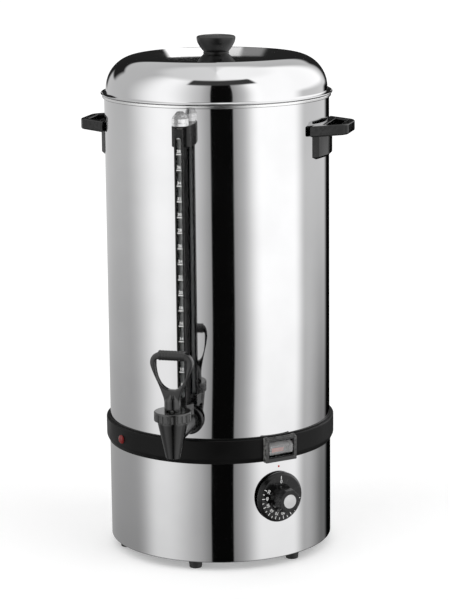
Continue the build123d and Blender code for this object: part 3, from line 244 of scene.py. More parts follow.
class Solid:
    """A closed mesh in the making."""

    def __init__(self) -> None:
        """Start with nothing."""
        self.bm = bmesh.new()

    @classmethod
    def turned(cls, line: Outline, steps: int = ROUND) -> "Solid":
        """Spin an outline, drawn as radius and height, about the upright axis."""
        solid = cls()
        solid.bm = line.done()
        bmesh.ops.spin(
            solid.bm,
            geom=solid.bm.verts[:] + solid.bm.edges[:],
            cent=(0.0, 0.0, 0.0),
            axis=(0.0, 0.0, 1.0),
            dvec=(0.0, 0.0, 0.0),
            angle=math.tau,
            steps=steps,
            use_merge=True,
            use_duplicate=False,
        )
        return solid.clean()

    @classmethod
    def pressed(cls, line: Outline, depth: float, holes: Sequence[Outline] = ()) -> "Solid":
        """Fill an outline and push it forwards, towards -Y.

        Args:
            line: closed outline in front view.
            depth: thickness.
            holes: closed outlines inside the first.

        Returns:
            The plate as a closed mesh.
        """
        solid = cls()
        solid.bm = line.done()
        for hole in holes:
            solid.take(hole.done())
        bmesh.ops.triangle_fill(
            solid.bm, use_beauty=True, use_dissolve=not holes, edges=solid.bm.edges[:], normal=(0, -1, 0)
        )
        pushed = bmesh.ops.extrude_face_region(solid.bm, geom=solid.bm.faces[:])
        bmesh.ops.translate(
            solid.bm,
            vec=(0.0, -depth, 0.0),
            verts=[g for g in pushed["geom"] if isinstance(g, bmesh.types.BMVert)],
        )
        return solid.clean()

    @classmethod
    def slab(cls, line: Outline, z_low: float, z_high: float, holes: Sequence[Outline] = ()) -> "Solid":
        """Fill an outline drawn in plan view, u towards +X and v towards +Y, and raise it."""
        solid = cls.pressed(line, z_high - z_low, holes)
        return solid.place(upright(0, 0, z_low) @ rotated(-90, "X"))

    @classmethod
    def copied(cls, node: str) -> "Solid":
        """Take a merged copy of a CAD node's mesh."""
        solid = cls()
        solid.bm.from_mesh(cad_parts[node].data)
        bmesh.ops.transform(solid.bm, matrix=TO_FRAME.inverted(), verts=solid.bm.verts)
        bmesh.ops.remove_doubles(solid.bm, verts=solid.bm.verts, dist=1e-3)
        bmesh.ops.dissolve_limit(
            solid.bm,
            angle_limit=math.radians(0.5),
            use_dissolve_boundaries=False,
            verts=solid.bm.verts,
            edges=solid.bm.edges,
            delimit={"NORMAL"},
        )
        return solid

    def take(self, other: bmesh.types.BMesh) -> "Solid":
        """Add another mesh's geometry to this one, and free the other."""
        spare = bpy.data.meshes.new("spare")
        other.to_mesh(spare)
        other.free()
        self.bm.from_mesh(spare)
        bpy.data.meshes.remove(spare)
        return self

    def join(self, *others: "Solid") -> "Solid":
        """Add other solids as they are."""
        for other in others:
            self.take(other.bm)
        return self

    def clean(self) -> "Solid":
        """Merge doubles and turn the faces outwards."""
        bmesh.ops.remove_doubles(self.bm, verts=self.bm.verts, dist=FINE)
        bmesh.ops.recalc_face_normals(self.bm, faces=self.bm.faces)
        return self

    def place(self, matrix: Matrix) -> "Solid":
        """Move the whole mesh."""
        bmesh.ops.transform(self.bm, matrix=matrix, verts=self.bm.verts)
        return self

    def again(self) -> "Solid":
        """Return a copy."""
        twin = Solid()
        twin.bm = self.bm.copy()
        return twin

    def repeat(self, places: Sequence[Matrix]) -> "Solid":
        """Stand a copy at every place instead of the one at the origin."""
        pattern = self.again()
        self.bm.clear()
        for matrix in places:
            self.join(pattern.again().place(matrix))
        return self

    def soften(
        self,
        width: float,
        steps: int = 2,
        angle: float = 35.0,
        keep: Callable[[bmesh.types.BMEdge], bool] | None = None,
    ) -> "Solid":
        """Round the mesh's sharp edges.

        Args:
            width: size of the rounding.
            steps: faces across it.
            angle: edges sharper than this, in degrees, are rounded.
            keep: test for the edges to round; all of them without it.

        Returns:
            The same solid.
        """
        edges = [
            e
            for e in self.bm.edges
            if e.is_manifold and e.calc_face_angle(0.0) > math.radians(angle) and (keep is None or keep(e))
        ]
        bmesh.ops.bevel(
            self.bm,
            geom=edges,
            offset=width,
            offset_type="OFFSET",
            segments=steps,
            profile=0.5,
            affect="EDGES",
            clamp_overlap=True,
            material=-1,
        )
        return self

    def temporary(self, name: str) -> bpy.types.Object:
        """Make an object of the mesh, for a modifier to work on."""
        mesh = bpy.data.meshes.new(name)
        self.bm.to_mesh(mesh)
        return linked(name, mesh)

    def combine(self, operation: str, others: Sequence["Solid"]) -> "Solid":
        """Run a Boolean with other solids, and keep the result."""
        body = self.temporary("worked")
        tools = [other.temporary("tool") for other in others]
        for tool in tools:
            modifier = body.modifiers.new("cut", "BOOLEAN")
            modifier.operation = operation
            modifier.solver = "EXACT"
            modifier.object = tool
        graph = bpy.context.evaluated_depsgraph_get()
        result = bpy.data.meshes.new_from_object(body.evaluated_get(graph))
        self.bm.clear()
        self.bm.from_mesh(result)
        for thing in [body, *tools]:
            mesh = thing.data
            bpy.data.objects.remove(thing)
            bpy.data.meshes.remove(mesh)
        bpy.data.meshes.remove(result)
        return self

    def carve(self, *others: "Solid") -> "Solid":
        """Cut other solids out of this one."""
        return self.combine("DIFFERENCE", others)

    def weld(self, *others: "Solid") -> "Solid":
        """Unite other solids with this one."""
        return self.combine("UNION", others)

    def cross(self, length: float, width: float, low: float, high: float, start: float = 0.0) -> "Solid":
        """Cut a cross-shaped recess, as in a screw's head.

        Args:
            length: length of a bar of the cross.
            width: width of a bar.
            low: height where the recess starts.
            high: height where it ends.
            start: how far the first bar is turned, in degrees.

        Returns:
            The same solid.
        """
        for degrees in (start, start + 90):
            bar = Solid.slab(oblong(length, width), low, high)
            self.carve(bar.place(rotated(degrees, "Z")))
        return self

    def piece(
        self,
        name: str,
        body: Body,
        slot: Slot,
        look: str,
        replaces: Sequence[str] = (),
        sharp: float = 32.0,
        even: bool = True,
    ) -> bpy.types.Object:
        """Finish the mesh as a piece of the urn.

        Args:
            name: the piece's name.
            body: the body that it rides on.
            slot: not used.
            look: the name of its finish.
            replaces: the CAD nodes that it stands for.
            sharp: edges above this angle, in degrees, stay crisp in the shading.
            even: let large faces lead the shading, which keeps flats flat beside roundings.

        Returns:
            The finished object.
        """
        self.place(TO_FRAME)
        limit = math.radians(sharp)
        for face in self.bm.faces:
            face.smooth = True
        for edge in self.bm.edges:
            edge.smooth = edge.is_manifold and edge.calc_face_angle(0.0) < limit
        mesh = bpy.data.meshes.new(name)
        self.bm.to_mesh(mesh)
        self.bm.free()
        thing = linked(name, mesh)
        mesh.materials.append(finish(look))
        if even:
            modifier = thing.modifiers.new("even_shading", "WEIGHTED_NORMAL")
            modifier.keep_sharp = True
        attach(thing, body.value)
        if replaces:
            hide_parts(*replaces)
        LOG.info("%s: %d faces, rides on %s", name, len(mesh.polygons), body.value)
        return thing


EdgeTest = Callable[[bmesh.types.BMEdge], bool]


def at_front(depth: float) -> EdgeTest:
    """Test for edges on the front face of a plate that is depth thick."""
    return lambda e: all(v.co.y < -depth + FINE for v in e.verts)


def level_in(axis: int) -> EdgeTest:
    """Test for edges whose ends lie level along an axis."""
    return lambda e: abs(e.verts[0].co[axis] - e.verts[1].co[axis]) < FINE


def ring(inner: float, outer: float, low: float, high: float, cut: float = 0.0, steps: int = 64) -> Solid:
    """Turned ring, with its outer corners rounded if cut is given."""
    line = Outline(inner, low).to(outer, low, cut, 3).to(outer, high, cut, 3).to(inner, high).close()
    return Solid.turned(line, steps)


def disc(radius: float, low: float, high: float, cut: float = 0.0, steps: int = 64) -> Solid:
    """Turned disc, with its corners rounded if cut is given."""
    line = Outline(0, low).to(radius, low, cut, 3).to(radius, high, cut, 3).to(0, high)
    return Solid.turned(line, steps)


def prism(radius: float, low: float, high: float, sides: int) -> Solid:
    """Upright prism with regular sides."""
    return Solid.slab(Outline(radius, 0).sweep(0, 0, 360, sides).close(), low, high)


def lettering(text: str, height: float, thickness: float, bold: float = 0.0) -> Solid:
    """Centred figures in front view.

    Args:
        text: what they say.
        height: height of a figure.
        thickness: how far they stand forwards.
        bold: how much the strokes are widened.

    Returns:
        The figures as a solid.
    """
    curve = bpy.data.curves.new("figures", "FONT")
    curve.body = text
    curve.size = height / 0.72
    curve.align_x = "CENTER"
    curve.align_y = "CENTER"
    curve.offset = bold
    curve.extrude = thickness / 2
    curve.resolution_u = 3
    thing = linked("figures", curve)
    graph = bpy.context.evaluated_depsgraph_get()
    mesh = bpy.data.meshes.new_from_object(thing.evaluated_get(graph))
    solid = Solid()
    solid.bm.from_mesh(mesh)
    bpy.data.objects.remove(thing)
    bpy.data.curves.remove(curve)
    bpy.data.meshes.remove(mesh)
    solid.place(rotated(90, "X"))
    return solid.clean()


# --- Finishes --------------------------------------------------------------------------------


class Graph:
    """Adds nodes to one tree and joins them."""

    def __init__(self, tree: bpy.types.NodeTree) -> None:
        """Work on a tree."""
        self.tree = tree

    def add(self, kind: str, inputs: dict | None = None, **settings) -> bpy.types.Node:
        """Add a node.

        Args:
            kind: the node's type, without the ShaderNode in front.
            inputs: sockets by name or number, each a value or a socket to link from.
            settings: the node's own properties.

        Returns:
            The new node.
        """
        node = self.tree.nodes.new("ShaderNode" + kind)
        for key, value in settings.items():
            setattr(node, key, value)
        return self.feed(node, inputs or {})

    def feed(self, node: bpy.types.Node, inputs: dict) -> bpy.types.Node:
        """Set a node's inputs.

        Args:
            node: the node.
            inputs: sockets by name or number, each a value or a socket to link from.

        Returns:
            The same node.
        """
        for key, value in inputs.items():
            if isinstance(value, bpy.types.NodeSocket):
                self.tree.links.new(value, node.inputs[key])
            else:
                node.inputs[key].default_value = value
        return node

    def group(self, tree: bpy.types.NodeTree, inputs: dict) -> bpy.types.Node:
        """Place a node group and set its inputs."""
        return self.add("Group", inputs, node_tree=tree)

    def bump(self, strength: float, distance: float, height: object) -> bpy.types.NodeSocket:
        """Add a Bump node and return its normal."""
        return self.add("Bump", {"Strength": strength, "Distance": distance, "Height": height}).outputs[0]

    def tint(self, colour: Colour, shade: object) -> bpy.types.NodeSocket:
        """Multiply a colour by a shade and return the result."""
        sockets = {0: 1.0, 6: colour, 7: shade}
        return self.add("Mix", sockets, data_type="RGBA", blend_type="MULTIPLY").outputs[2]

    def maths(self, operation: str, *values: float | bpy.types.NodeSocket) -> bpy.types.NodeSocket:
        """Add a Math node and return its result."""
        return self.add("Math", dict(enumerate(values)), operation=operation).outputs[0]

    def remap(
        self, value: bpy.types.NodeSocket, low: float, high: float, to_low: float = 0.0, to_high: float = 1.0
    ) -> bpy.types.NodeSocket:
        """Map a value smoothly from one range to another."""
        sockets = {0: value, 1: low, 2: high, 3: to_low, 4: to_high}
        return self.add("MapRange", sockets, interpolation_type="SMOOTHSTEP").outputs[0]

    def mix(self, share: object, first: object, second: object) -> bpy.types.NodeSocket:
        """Mix two colours and return the result."""
        return self.add("Mix", {0: share, 6: first, 7: second}, data_type="RGBA").outputs[2]


def new_group(name: str, inputs: dict[str, str], outputs: dict[str, str]) -> tuple:
    """Start a node group.

    Args:
        name: the group's name.
        inputs: socket type by socket name.
        outputs: socket type by socket name.

    Returns:
        The tree, a Graph on it, its input node and its output node.
    """
    tree = bpy.data.node_groups.new(name, "ShaderNodeTree")
    for label, kind in inputs.items():
        tree.interface.new_socket(label, in_out="INPUT", socket_type="NodeSocket" + kind)
    for label, kind in outputs.items():
        tree.interface.new_socket(label, in_out="OUTPUT", socket_type="NodeSocket" + kind)
    source = tree.nodes.new("NodeGroupInput")
    sink = tree.nodes.new("NodeGroupOutput")
    return tree, Graph(tree), source, sink


def moulded_grain_group() -> bpy.types.NodeTree:
    """Fine spark-eroded grain, as moulds leave it: a height and a slow change of tone."""
    tree, g, source, sink = new_group(
        "moulded_grain", {"Vector": "Vector", "Size": "Float"}, {"Height": "Float", "Tone": "Float"}
    )
    scale = g.maths("DIVIDE", 1.0, source.outputs["Size"])
    fine = g.add("TexNoise", {"Vector": source.outputs["Vector"], "Scale": scale, "Detail": 3.0})
    coarse_scale = g.maths("MULTIPLY", scale, 0.37)
    cells = g.add(
        "TexVoronoi", {"Vector": source.outputs["Vector"], "Scale": coarse_scale}, feature="SMOOTH_F1"
    )
    height = g.maths("ADD", fine.outputs[0], g.maths("MULTIPLY", cells.outputs[0], 0.4))
    slow = g.add("TexNoise", {"Vector": source.outputs["Vector"], "Scale": 38.0, "Detail": 2.0})
    tree.links.new(height, sink.inputs["Height"])
    tree.links.new(slow.outputs[0], sink.inputs["Tone"])
    return tree


def edge_wear_and_highlight_group() -> bpy.types.NodeTree:
    """Rubbed, lighter edges, and the painted highlight on the switch frame's ridges: a mask that follows
    convex edges and breaks up along them.
    """
    tree, g, source, sink = new_group(
        "edge_wear_and_highlight",
        {"Vector": "Vector", "Colour": "Color", "Worn and highlight": "Color", "Amount": "Float"},
        {"Colour": "Color", "Mask": "Float"},
    )
    shape = g.add("NewGeometry")
    # Convex edges by pointiness: where wear rubs, and where frame_black paints its ridge highlight.
    edge = g.remap(shape.outputs["Pointiness"], 0.515, 0.60)
    patches = g.add("TexNoise", {"Vector": source.outputs["Vector"], "Scale": 260.0, "Detail": 3.0})
    broken = g.remap(patches.outputs[0], 0.32, 0.62)
    mask = g.maths("MULTIPLY", g.maths("MULTIPLY", edge, broken), source.outputs["Amount"])
    tree.links.new(mask, sink.inputs["Mask"])
    tree.links.new(g.mix(mask, source.outputs["Colour"], source.outputs["Worn and highlight"]), sink.inputs["Colour"])
    return tree


def dust_film_group() -> bpy.types.NodeTree:
    """A thin uneven film on faces that look up: a colour and how much rougher it makes them."""
    tree, g, source, sink = new_group(
        "dust_film",
        {"Vector": "Vector", "Colour": "Color", "Amount": "Float"},
        {"Colour": "Color", "Rougher": "Float"},
    )
    shape = g.add("NewGeometry")
    split = g.add("SeparateXYZ", {0: shape.outputs["Normal"]})
    upward = g.remap(split.outputs[2], 0.1, 1.0)
    clouds = g.add("TexNoise", {"Vector": source.outputs["Vector"], "Scale": 55.0, "Detail": 4.0})
    uneven = g.remap(clouds.outputs[0], 0.35, 0.75, 0.25, 1.0)
    mask = g.maths("MULTIPLY", g.maths("MULTIPLY", upward, uneven), source.outputs["Amount"])
    dusty = g.mix(mask, source.outputs["Colour"], (0.42, 0.41, 0.39, 1.0))
    tree.links.new(dusty, sink.inputs["Colour"])
    tree.links.new(g.maths("MULTIPLY", mask, 0.6), sink.inputs["Rougher"])
    return tree


def polish_lines_group() -> bpy.types.NodeTree:
    """Hair-fine lines round the barrel's axis, with slow smears across them, as buffing leaves."""
    tree, g, source, sink = new_group(
        "polish_lines", {"Vector": "Vector", "Pitch": "Float"}, {"Height": "Float", "Smear": "Float"}
    )
    place = g.add("SeparateXYZ", {0: source.outputs["Vector"]})
    reach = g.maths(
        "SQRT",
        g.maths("ADD", g.maths("POWER", place.outputs[0], 2.0), g.maths("POWER", place.outputs[1], 2.0)),
    )
    across = g.add("CombineXYZ", {0: reach, 1: 0.0, 2: place.outputs[2]})
    scale = g.maths("DIVIDE", 1.0, source.outputs["Pitch"])
    lines = g.add("TexNoise", {"Vector": across.outputs[0], "Scale": scale, "Detail": 2.0})
    smear = g.add("TexNoise", {"Vector": source.outputs["Vector"], "Scale": 14.0, "Detail": 3.0})
    g.feed(sink, {"Height": lines.outputs[0], "Smear": smear.outputs[0]})
    return tree


class Effects:
    """The shared effects, each built once when it is first asked for."""

    built: dict[str, bpy.types.NodeTree] = {}
    makers: dict[str, Callable[[], bpy.types.NodeTree]] = {
        "moulded_grain": moulded_grain_group,
        "edge_wear_and_highlight": edge_wear_and_highlight_group,
        "dust_film": dust_film_group,
        "polish_lines": polish_lines_group,
    }

    @classmethod
    def get(cls, name: str) -> bpy.types.NodeTree:
        """Return a shared effect's node group."""
        if name not in cls.built:
            cls.built[name] = cls.makers[name]()
        return cls.built[name]


def start_material(name: str) -> tuple:
    """Start a material.

    Args:
        name: the material's name.

    Returns:
        The material, a Graph on it, its Principled shader and the centred Object coordinates.
    """
    material = bpy.data.materials.new(name)
    material.use_nodes = True
    g = Graph(material.node_tree)
    shader = material.node_tree.nodes["Principled BSDF"]
    place = g.add("TexCoord").outputs["Object"]
    centred = g.add("Mapping", {"Vector": place, "Location": (0.0, -AXIS_Y, 0.0)}).outputs[0]
    return material, g, shader, centred


@dataclass(frozen=True)
class MouldedPlastic:
    """Opaque moulded plastic with its mould's grain, lighter edges and a little dust; the edges are rubbed
    wear, and on the switch frame a painted highlight.
    """

    name: str
    colour: Colour
    roughness: float
    # Lighter edge colour and its amount: rubbed wear, and on frame_black a painted highlight along the
    # ridges.
    worn_and_highlight: Colour
    wear_and_highlight: float = 0.5
    dust: float = 0.03
    grain: float = 0.00035
    depth: float = 0.12
    specular: float = 0.5
    coat: float = 0.0

    def material(self) -> bpy.types.Material:
        """Build the material."""
        material, g, shader, vector = start_material(self.name)
        grain = g.group(Effects.get("moulded_grain"), {"Vector": vector, "Size": self.grain})
        shade = g.remap(grain.outputs["Tone"], 0.3, 0.7, 0.85, 1.15)
        tinted = g.tint(self.colour, shade)
        # Lighter convex edges: rubbed wear, and for frame_black a painted highlight.
        wear_and_highlight = g.group(
            Effects.get("edge_wear_and_highlight"),
            {"Vector": vector, "Colour": tinted, "Worn and highlight": self.worn_and_highlight, "Amount": self.wear_and_highlight},
        )
        dust = g.group(
            Effects.get("dust_film"),
            {"Vector": vector, "Colour": wear_and_highlight.outputs["Colour"], "Amount": self.dust},
        )
        base = g.remap(grain.outputs["Tone"], 0.3, 0.7, self.roughness - 0.04, self.roughness + 0.05)
        rough = g.maths("ADD", base, dust.outputs["Rougher"])
        bump = g.bump(self.depth, 0.0002, grain.outputs["Height"])
        surface = {"Base Color": dust.outputs["Colour"], "Roughness": rough, "Normal": bump}
        g.feed(shader, surface | {"Specular IOR Level": self.specular, "Coat Weight": self.coat})
        g.feed(shader, {"Coat Roughness": 0.08})
        return material


@dataclass(frozen=True)
class PolishedMetal:
    """Bare metal with buffing lines round the barrel, slow smears and faint wipe marks."""

    name: str
    colour: Colour
    roughness: float
    pitch: float = 0.0004
    depth: float = 0.02
    smear: float = 0.03

    def material(self) -> bpy.types.Material:
        """Build the material."""
        material, g, shader, vector = start_material(self.name)
        lines = g.group(Effects.get("polish_lines"), {"Vector": vector, "Pitch": self.pitch})
        tone = g.remap(lines.outputs["Smear"], 0.25, 0.75, 0.96, 1.02)
        tinted = g.tint(self.colour, tone)
        wiped = g.remap(lines.outputs["Smear"], 0.3, 0.8, 0.0, self.smear)
        fine = g.remap(lines.outputs["Height"], 0.3, 0.7, -0.15 * self.roughness, 0.15 * self.roughness)
        rough = g.maths("ADD", g.maths("ADD", fine, self.roughness), wiped)
        bump = g.bump(self.depth, 0.0001, lines.outputs["Height"])
        g.feed(shader, {"Base Color": tinted, "Roughness": rough, "Normal": bump, "Metallic": 1.0})
        return material


@dataclass(frozen=True)
class ClearMoulding:
    """Clear or tinted see-through plastic or glass, with faint streaks in its surface."""

    name: str
    colour: Colour
    roughness: float = 0.03
    transmission: float = 1.0
    ior: float = 1.49
    ripple: float = 0.05
    ripple_size: float = 0.002

    def material(self) -> bpy.types.Material:
        """Build the material."""
        material, g, shader, vector = start_material(self.name)
        grain = g.group(Effects.get("moulded_grain"), {"Vector": vector, "Size": self.ripple_size})
        rough = g.remap(grain.outputs["Tone"], 0.3, 0.7, self.roughness * 0.7, self.roughness * 1.4)
        bump = g.bump(self.ripple, 0.0003, grain.outputs["Height"])
        g.feed(shader, {"Base Color": self.colour, "Roughness": rough, "Normal": bump})
        g.feed(shader, {"Transmission Weight": self.transmission, "IOR": self.ior})
        return material


@dataclass(frozen=True)
class PrintedPaint:
    """Thin printed marks, slightly broken where the ink is thin."""

    name: str
    colour: Colour

    def material(self) -> bpy.types.Material:
        """Build the material."""
        material, g, shader, vector = start_material(self.name)
        grain = g.group(Effects.get("moulded_grain"), {"Vector": vector, "Size": 0.0003})
        thin = g.remap(grain.outputs["Height"], 0.3, 0.9, 0.82, 1.0)
        ink = g.tint(self.colour, thin)
        rough = g.remap(grain.outputs["Tone"], 0.3, 0.7, 0.4, 0.55)
        bump = g.bump(0.05, 0.0001, grain.outputs["Height"])
        g.feed(shader, {"Base Color": ink, "Roughness": rough, "Normal": bump})
        return material


def grey(level: float) -> Colour:
    """Neutral colour of one level."""
    return (level, level, level, 1.0)


GREY_RUB: Colour = grey(0.10)

FINISH_LIST = (
    PolishedMetal("mirror_steel", (0.62, 0.62, 0.625, 1.0), 0.035, 0.0005, 0.012, 0.03),
    PolishedMetal("drawn_steel", grey(0.70), 0.2, 0.0008, 0.05, 0.06),
    PolishedMetal("plated_steel", (0.55, 0.56, 0.57, 1.0), 0.26, 0.0015, 0.10, 0.10),
    PolishedMetal("spring_wire", (0.56, 0.56, 0.57, 1.0), 0.2, 0.0006, 0.06, 0.06),
    PolishedMetal("cast_aluminium", (0.72, 0.72, 0.73, 1.0), 0.42, 0.003, 0.25, 0.12),
    PolishedMetal("copper", (0.72, 0.42, 0.26, 1.0), 0.28, 0.001, 0.08, 0.10),
    MouldedPlastic("band_black", grey(0.003), 0.42, GREY_RUB, 0.1, 0.003, specular=0.14),
    MouldedPlastic("tap_black", grey(0.004), 0.13, GREY_RUB, 0.25, 0.01, depth=0.05, specular=0.7),
    MouldedPlastic(
        "bonnet_black", (0.006, 0.006, 0.0055, 1.0), 0.11, GREY_RUB, 0.3, 0.015, depth=0.05, specular=0.9
    ),
    MouldedPlastic("bracket_black", grey(0.004), 0.16, GREY_RUB, 0.2, 0.01, depth=0.06, specular=0.3),
    # frame_black's pale edge colour at a high amount is a painted highlight along the ridges of the frame's
    # top.
    MouldedPlastic(
        "frame_black", grey(0.005), 0.14, (0.3, 0.3, 0.29, 1.0), 0.8, 0.01, depth=0.05, specular=0.5
    ),
    MouldedPlastic("dial_pale", grey(0.62), 0.3, grey(0.7), 0.2, 0.01, depth=0.03, coat=0.2),
    MouldedPlastic("guard_black", grey(0.004), 0.16, GREY_RUB, 0.15, 0.005, depth=0.05, specular=0.25),
    MouldedPlastic("handle_black", grey(0.003), 0.14, GREY_RUB, 0.15, 0.008, depth=0.05, specular=0.25),
    MouldedPlastic("knob_black", grey(0.007), 0.3, GREY_RUB, 0.2, 0.025, depth=0.06, specular=0.4),
    MouldedPlastic("dial_black", grey(0.003), 0.14, GREY_RUB, 0.15, 0.006, depth=0.05, specular=0.3),
    MouldedPlastic("collar_black", grey(0.004), 0.14, GREY_RUB, 0.2, 0.008, depth=0.03, specular=0.4),
    MouldedPlastic("socket_black", grey(0.012), 0.4, GREY_RUB, 0.2, 0.02),
    MouldedPlastic(
        "white_plastic", (0.80, 0.80, 0.79, 1.0), 0.28, (0.7, 0.7, 0.68, 1.0), 0.2, 0.02, depth=0.04, coat=0.2
    ),
    MouldedPlastic("black_rubber", grey(0.018), 0.62, grey(0.06), 0.4, 0.08, 0.0006, 0.3),
    MouldedPlastic(
        "seal_silicone", (0.66, 0.66, 0.62, 1.0), 0.45, (0.6, 0.6, 0.56, 1.0), 0.1, 0.03, 0.0008, 0.1
    ),
    MouldedPlastic("lamp_body", grey(0.05), 0.45, GREY_RUB, 0.2, 0.03),
    MouldedPlastic(
        "red_insert", (0.80, 0.10, 0.03, 1.0), 0.3, (0.9, 0.3, 0.15, 1.0), 0.2, 0.0, depth=0.05, coat=0.3
    ),
    ClearMoulding("tube_glass", (0.82, 0.84, 0.83, 1.0), 0.12, 0.5, 1.50, 0.02, 0.006),
    ClearMoulding("clear_plastic", grey(1.0), 0.02, 0.86, 1.49, 0.03, 0.002),
    ClearMoulding("clear_strip", grey(0.97), 0.08, 1.0, 1.2, 0.03, 0.003),
    ClearMoulding("rocker_clear", grey(0.92), 0.03, 0.74, 1.25, 0.06, 0.001),
    ClearMoulding("red_lens", (0.30, 0.01, 0.01, 1.0), 0.1, 0.4, 1.49, 0.05, 0.001),
    PrintedPaint("white_print", (0.92, 0.92, 0.91, 1.0)),
    PrintedPaint("red_print", (0.70, 0.03, 0.02, 1.0)),
)
FINISHES = {look.name: look for look in FINISH_LIST}
MATERIALS: dict[str, bpy.types.Material] = {}


def finish(name: str) -> bpy.types.Material:
    """Return a finish's material, built when it is first asked for."""
    if name not in MATERIALS:
        MATERIALS[name] = FINISHES[name].material()
    return MATERIALS[name]


# --- Studio ----------------------------------------------------------------------------------


@dataclass(frozen=True)
class Panel:
    """A soft box, shade or flag far round the studio, which polished surfaces mirror.

    Angles are degrees; azimuth 0 lies behind the camera, positive to its right.
    """

    name: str
    left: float
    right: float
    low: float
    high: float
    level: float
    soft_side: float = 1.0
    soft_end: float = 1.0
    both_sides: bool = False


PANEL_SOCKETS = ("Left", "Right", "Low", "High", "Soft side", "Soft end")


@dataclass
class Studio:
    """Camera, lights, floor and what the metal mirrors."""

    focal_length: float = 135.54
    sensor: float = 36.0
    distance: float = 2.8056
    camera_height: float = 0.8938
    camera_azimuth: float = 15.0
    yaw: float = 0.16
    pitch: float = 11.69
    roll: float = -0.60
    floor_radius: float = 40.0
    floor_colour: Colour = (0.86, 0.86, 0.86, 1.0)
    floor_lift: float = 0.27
    fill_level: float = 0.55
    room_level: float = 0.70
    lamp_spread: float = 50.0
    panels: list[Panel] = field(
        default_factory=lambda: [
            Panel("left soft box", -84, -32, -60, 62, 1.52, 24, 12),
            Panel("left lower shade", -200, -82, -60, -14, 0.54, 16, 6),
            Panel("shade beside the camera", -9, 20, -60, 50, 0.33, 10, 6),
            Panel("right soft box", 36, 142, -60, 100, 1.78, 12, 10),
            Panel("right upper box", 40, 142, -9, 100, 1.56, 12, 4),
            Panel("right side", 93, 150, -60, 4, 0.86, 9, 5),
            Panel("right lower shade", 120, 170, -60, -12, 0.3, 16, 5),
            Panel("left top light", -180, 0, 58, 100, 1.0, 10, 8),
            Panel("right top light", 0, 180, 58, 100, 1.4, 10, 8),
            Panel("camera gap", -6.5, 16.3, -60, 46, 0.004, 0.8, 2),
            Panel("top flag", -36, 50, 41, 58, 0.06, 3, 3),
            Panel("right rear shade", 146, 200, -60, -2, 0.002, 6, 2),
            Panel("left rear flag", -200, -138, 10, 26, 0.02, 6, 2),
            Panel("rear flag", 156, 200, -4, 21, 0.02, 4, 3, True),
            Panel("backdrop left", -200, -178.5, 1.3, 7.5, 1.5, 0.1, 0.3),
            Panel("backdrop right", 179.2, 200, 1.3, 7.5, 0.8, 0.1, 0.3),
            Panel("backdrop edge", 178.55, 179.2, 1.3, 7.5, 0.25, 0.1, 0.3),
        ]
    )

    def camera(self) -> None:
        """Stand the camera at its place, turned towards the urn."""
        side = math.radians(self.camera_azimuth)
        yaw = math.radians(self.yaw)
        pitch = math.radians(self.pitch)
        ahead = Vector((math.sin(yaw) * math.cos(pitch), math.cos(yaw) * math.cos(pitch), -math.sin(pitch)))
        right = Vector((math.cos(yaw), -math.sin(yaw), 0.0))
        up = right.cross(ahead)
        frame_turn = Matrix((right, up, -ahead)).transposed().to_4x4()
        roll = rotated(self.roll, "Z")
        stand = Matrix.Translation((0.0, -self.distance, self.camera_height))
        about = Matrix.Translation((0.0, AXIS_Y, 0.0)) @ Matrix.Rotation(side, 4, "Z")
        lens = bpy.data.cameras.new("camera")
        lens.lens = self.focal_length
        lens.sensor_width = self.sensor
        lens.clip_end = 200.0
        thing = linked("camera", lens)
        thing.matrix_world = about @ stand @ frame_turn @ roll
        bpy.context.scene.camera = thing

    def floor(self) -> None:
        """Lay the pale floor, which keeps the urn's shadow and is clear to mirrored rays."""
        bm = bmesh.new()
        bmesh.ops.create_circle(bm, cap_ends=True, segments=96, radius=self.floor_radius)
        mesh = bpy.data.meshes.new("floor")
        bm.to_mesh(mesh)
        bm.free()
        thing = linked("floor", mesh)
        material = bpy.data.materials.new("floor")
        material.use_nodes = True
        g = Graph(material.node_tree)
        g.tree.nodes.remove(g.tree.nodes["Principled BSDF"])
        path = g.add("LightPath")
        card = g.add("BsdfDiffuse", {"Color": self.floor_colour})
        lift = g.add("Emission", {"Color": (1, 1, 1, 1), "Strength": self.floor_lift})
        nothing = g.add("Emission", {"Strength": 0.0})
        to_camera = path.outputs["Is Camera Ray"]
        seen = g.add("MixShader", {0: to_camera, 1: nothing.outputs[0], 2: lift.outputs[0]})
        paper = g.add("AddShader", {0: card.outputs[0], 1: seen.outputs[0]})
        clear = g.add("BsdfTransparent")
        mirrored = g.maths("MAXIMUM", path.outputs["Is Glossy Ray"], path.outputs["Is Transmission Ray"])
        shader = g.add("MixShader", {0: mirrored, 1: paper.outputs[0], 2: clear.outputs[0]})
        g.tree.links.new(shader.outputs[0], g.tree.nodes["Material Output"].inputs["Surface"])
        mesh.materials.append(material)

    def panel_group(self) -> bpy.types.NodeTree:
        """Mask of one soft-edged panel in degrees of azimuth and elevation."""
        names = ("Azimuth", "Elevation", *PANEL_SOCKETS)
        tree, g, source, sink = new_group("studio_panel", dict.fromkeys(names, "Float"), {"Mask": "Float"})
        get = source.outputs

        def edge(value: str, limit: str, soft: str, rising: bool) -> bpy.types.NodeSocket:
            """Soft step of a value at a limit."""
            start = g.maths("SUBTRACT", get[limit], get[soft])
            stop = g.maths("ADD", get[limit], get[soft])
            to_low, to_high = (0.0, 1.0) if rising else (1.0, 0.0)
            return g.remap(get[value], start, stop, to_low, to_high)

        sides = g.maths(
            "MULTIPLY",
            edge("Azimuth", "Left", "Soft side", True),
            edge("Azimuth", "Right", "Soft side", False),
        )
        ends = g.maths(
            "MULTIPLY",
            edge("Elevation", "Low", "Soft end", True),
            edge("Elevation", "High", "Soft end", False),
        )
        g.tree.links.new(g.maths("MULTIPLY", sides, ends), sink.inputs["Mask"])
        return tree

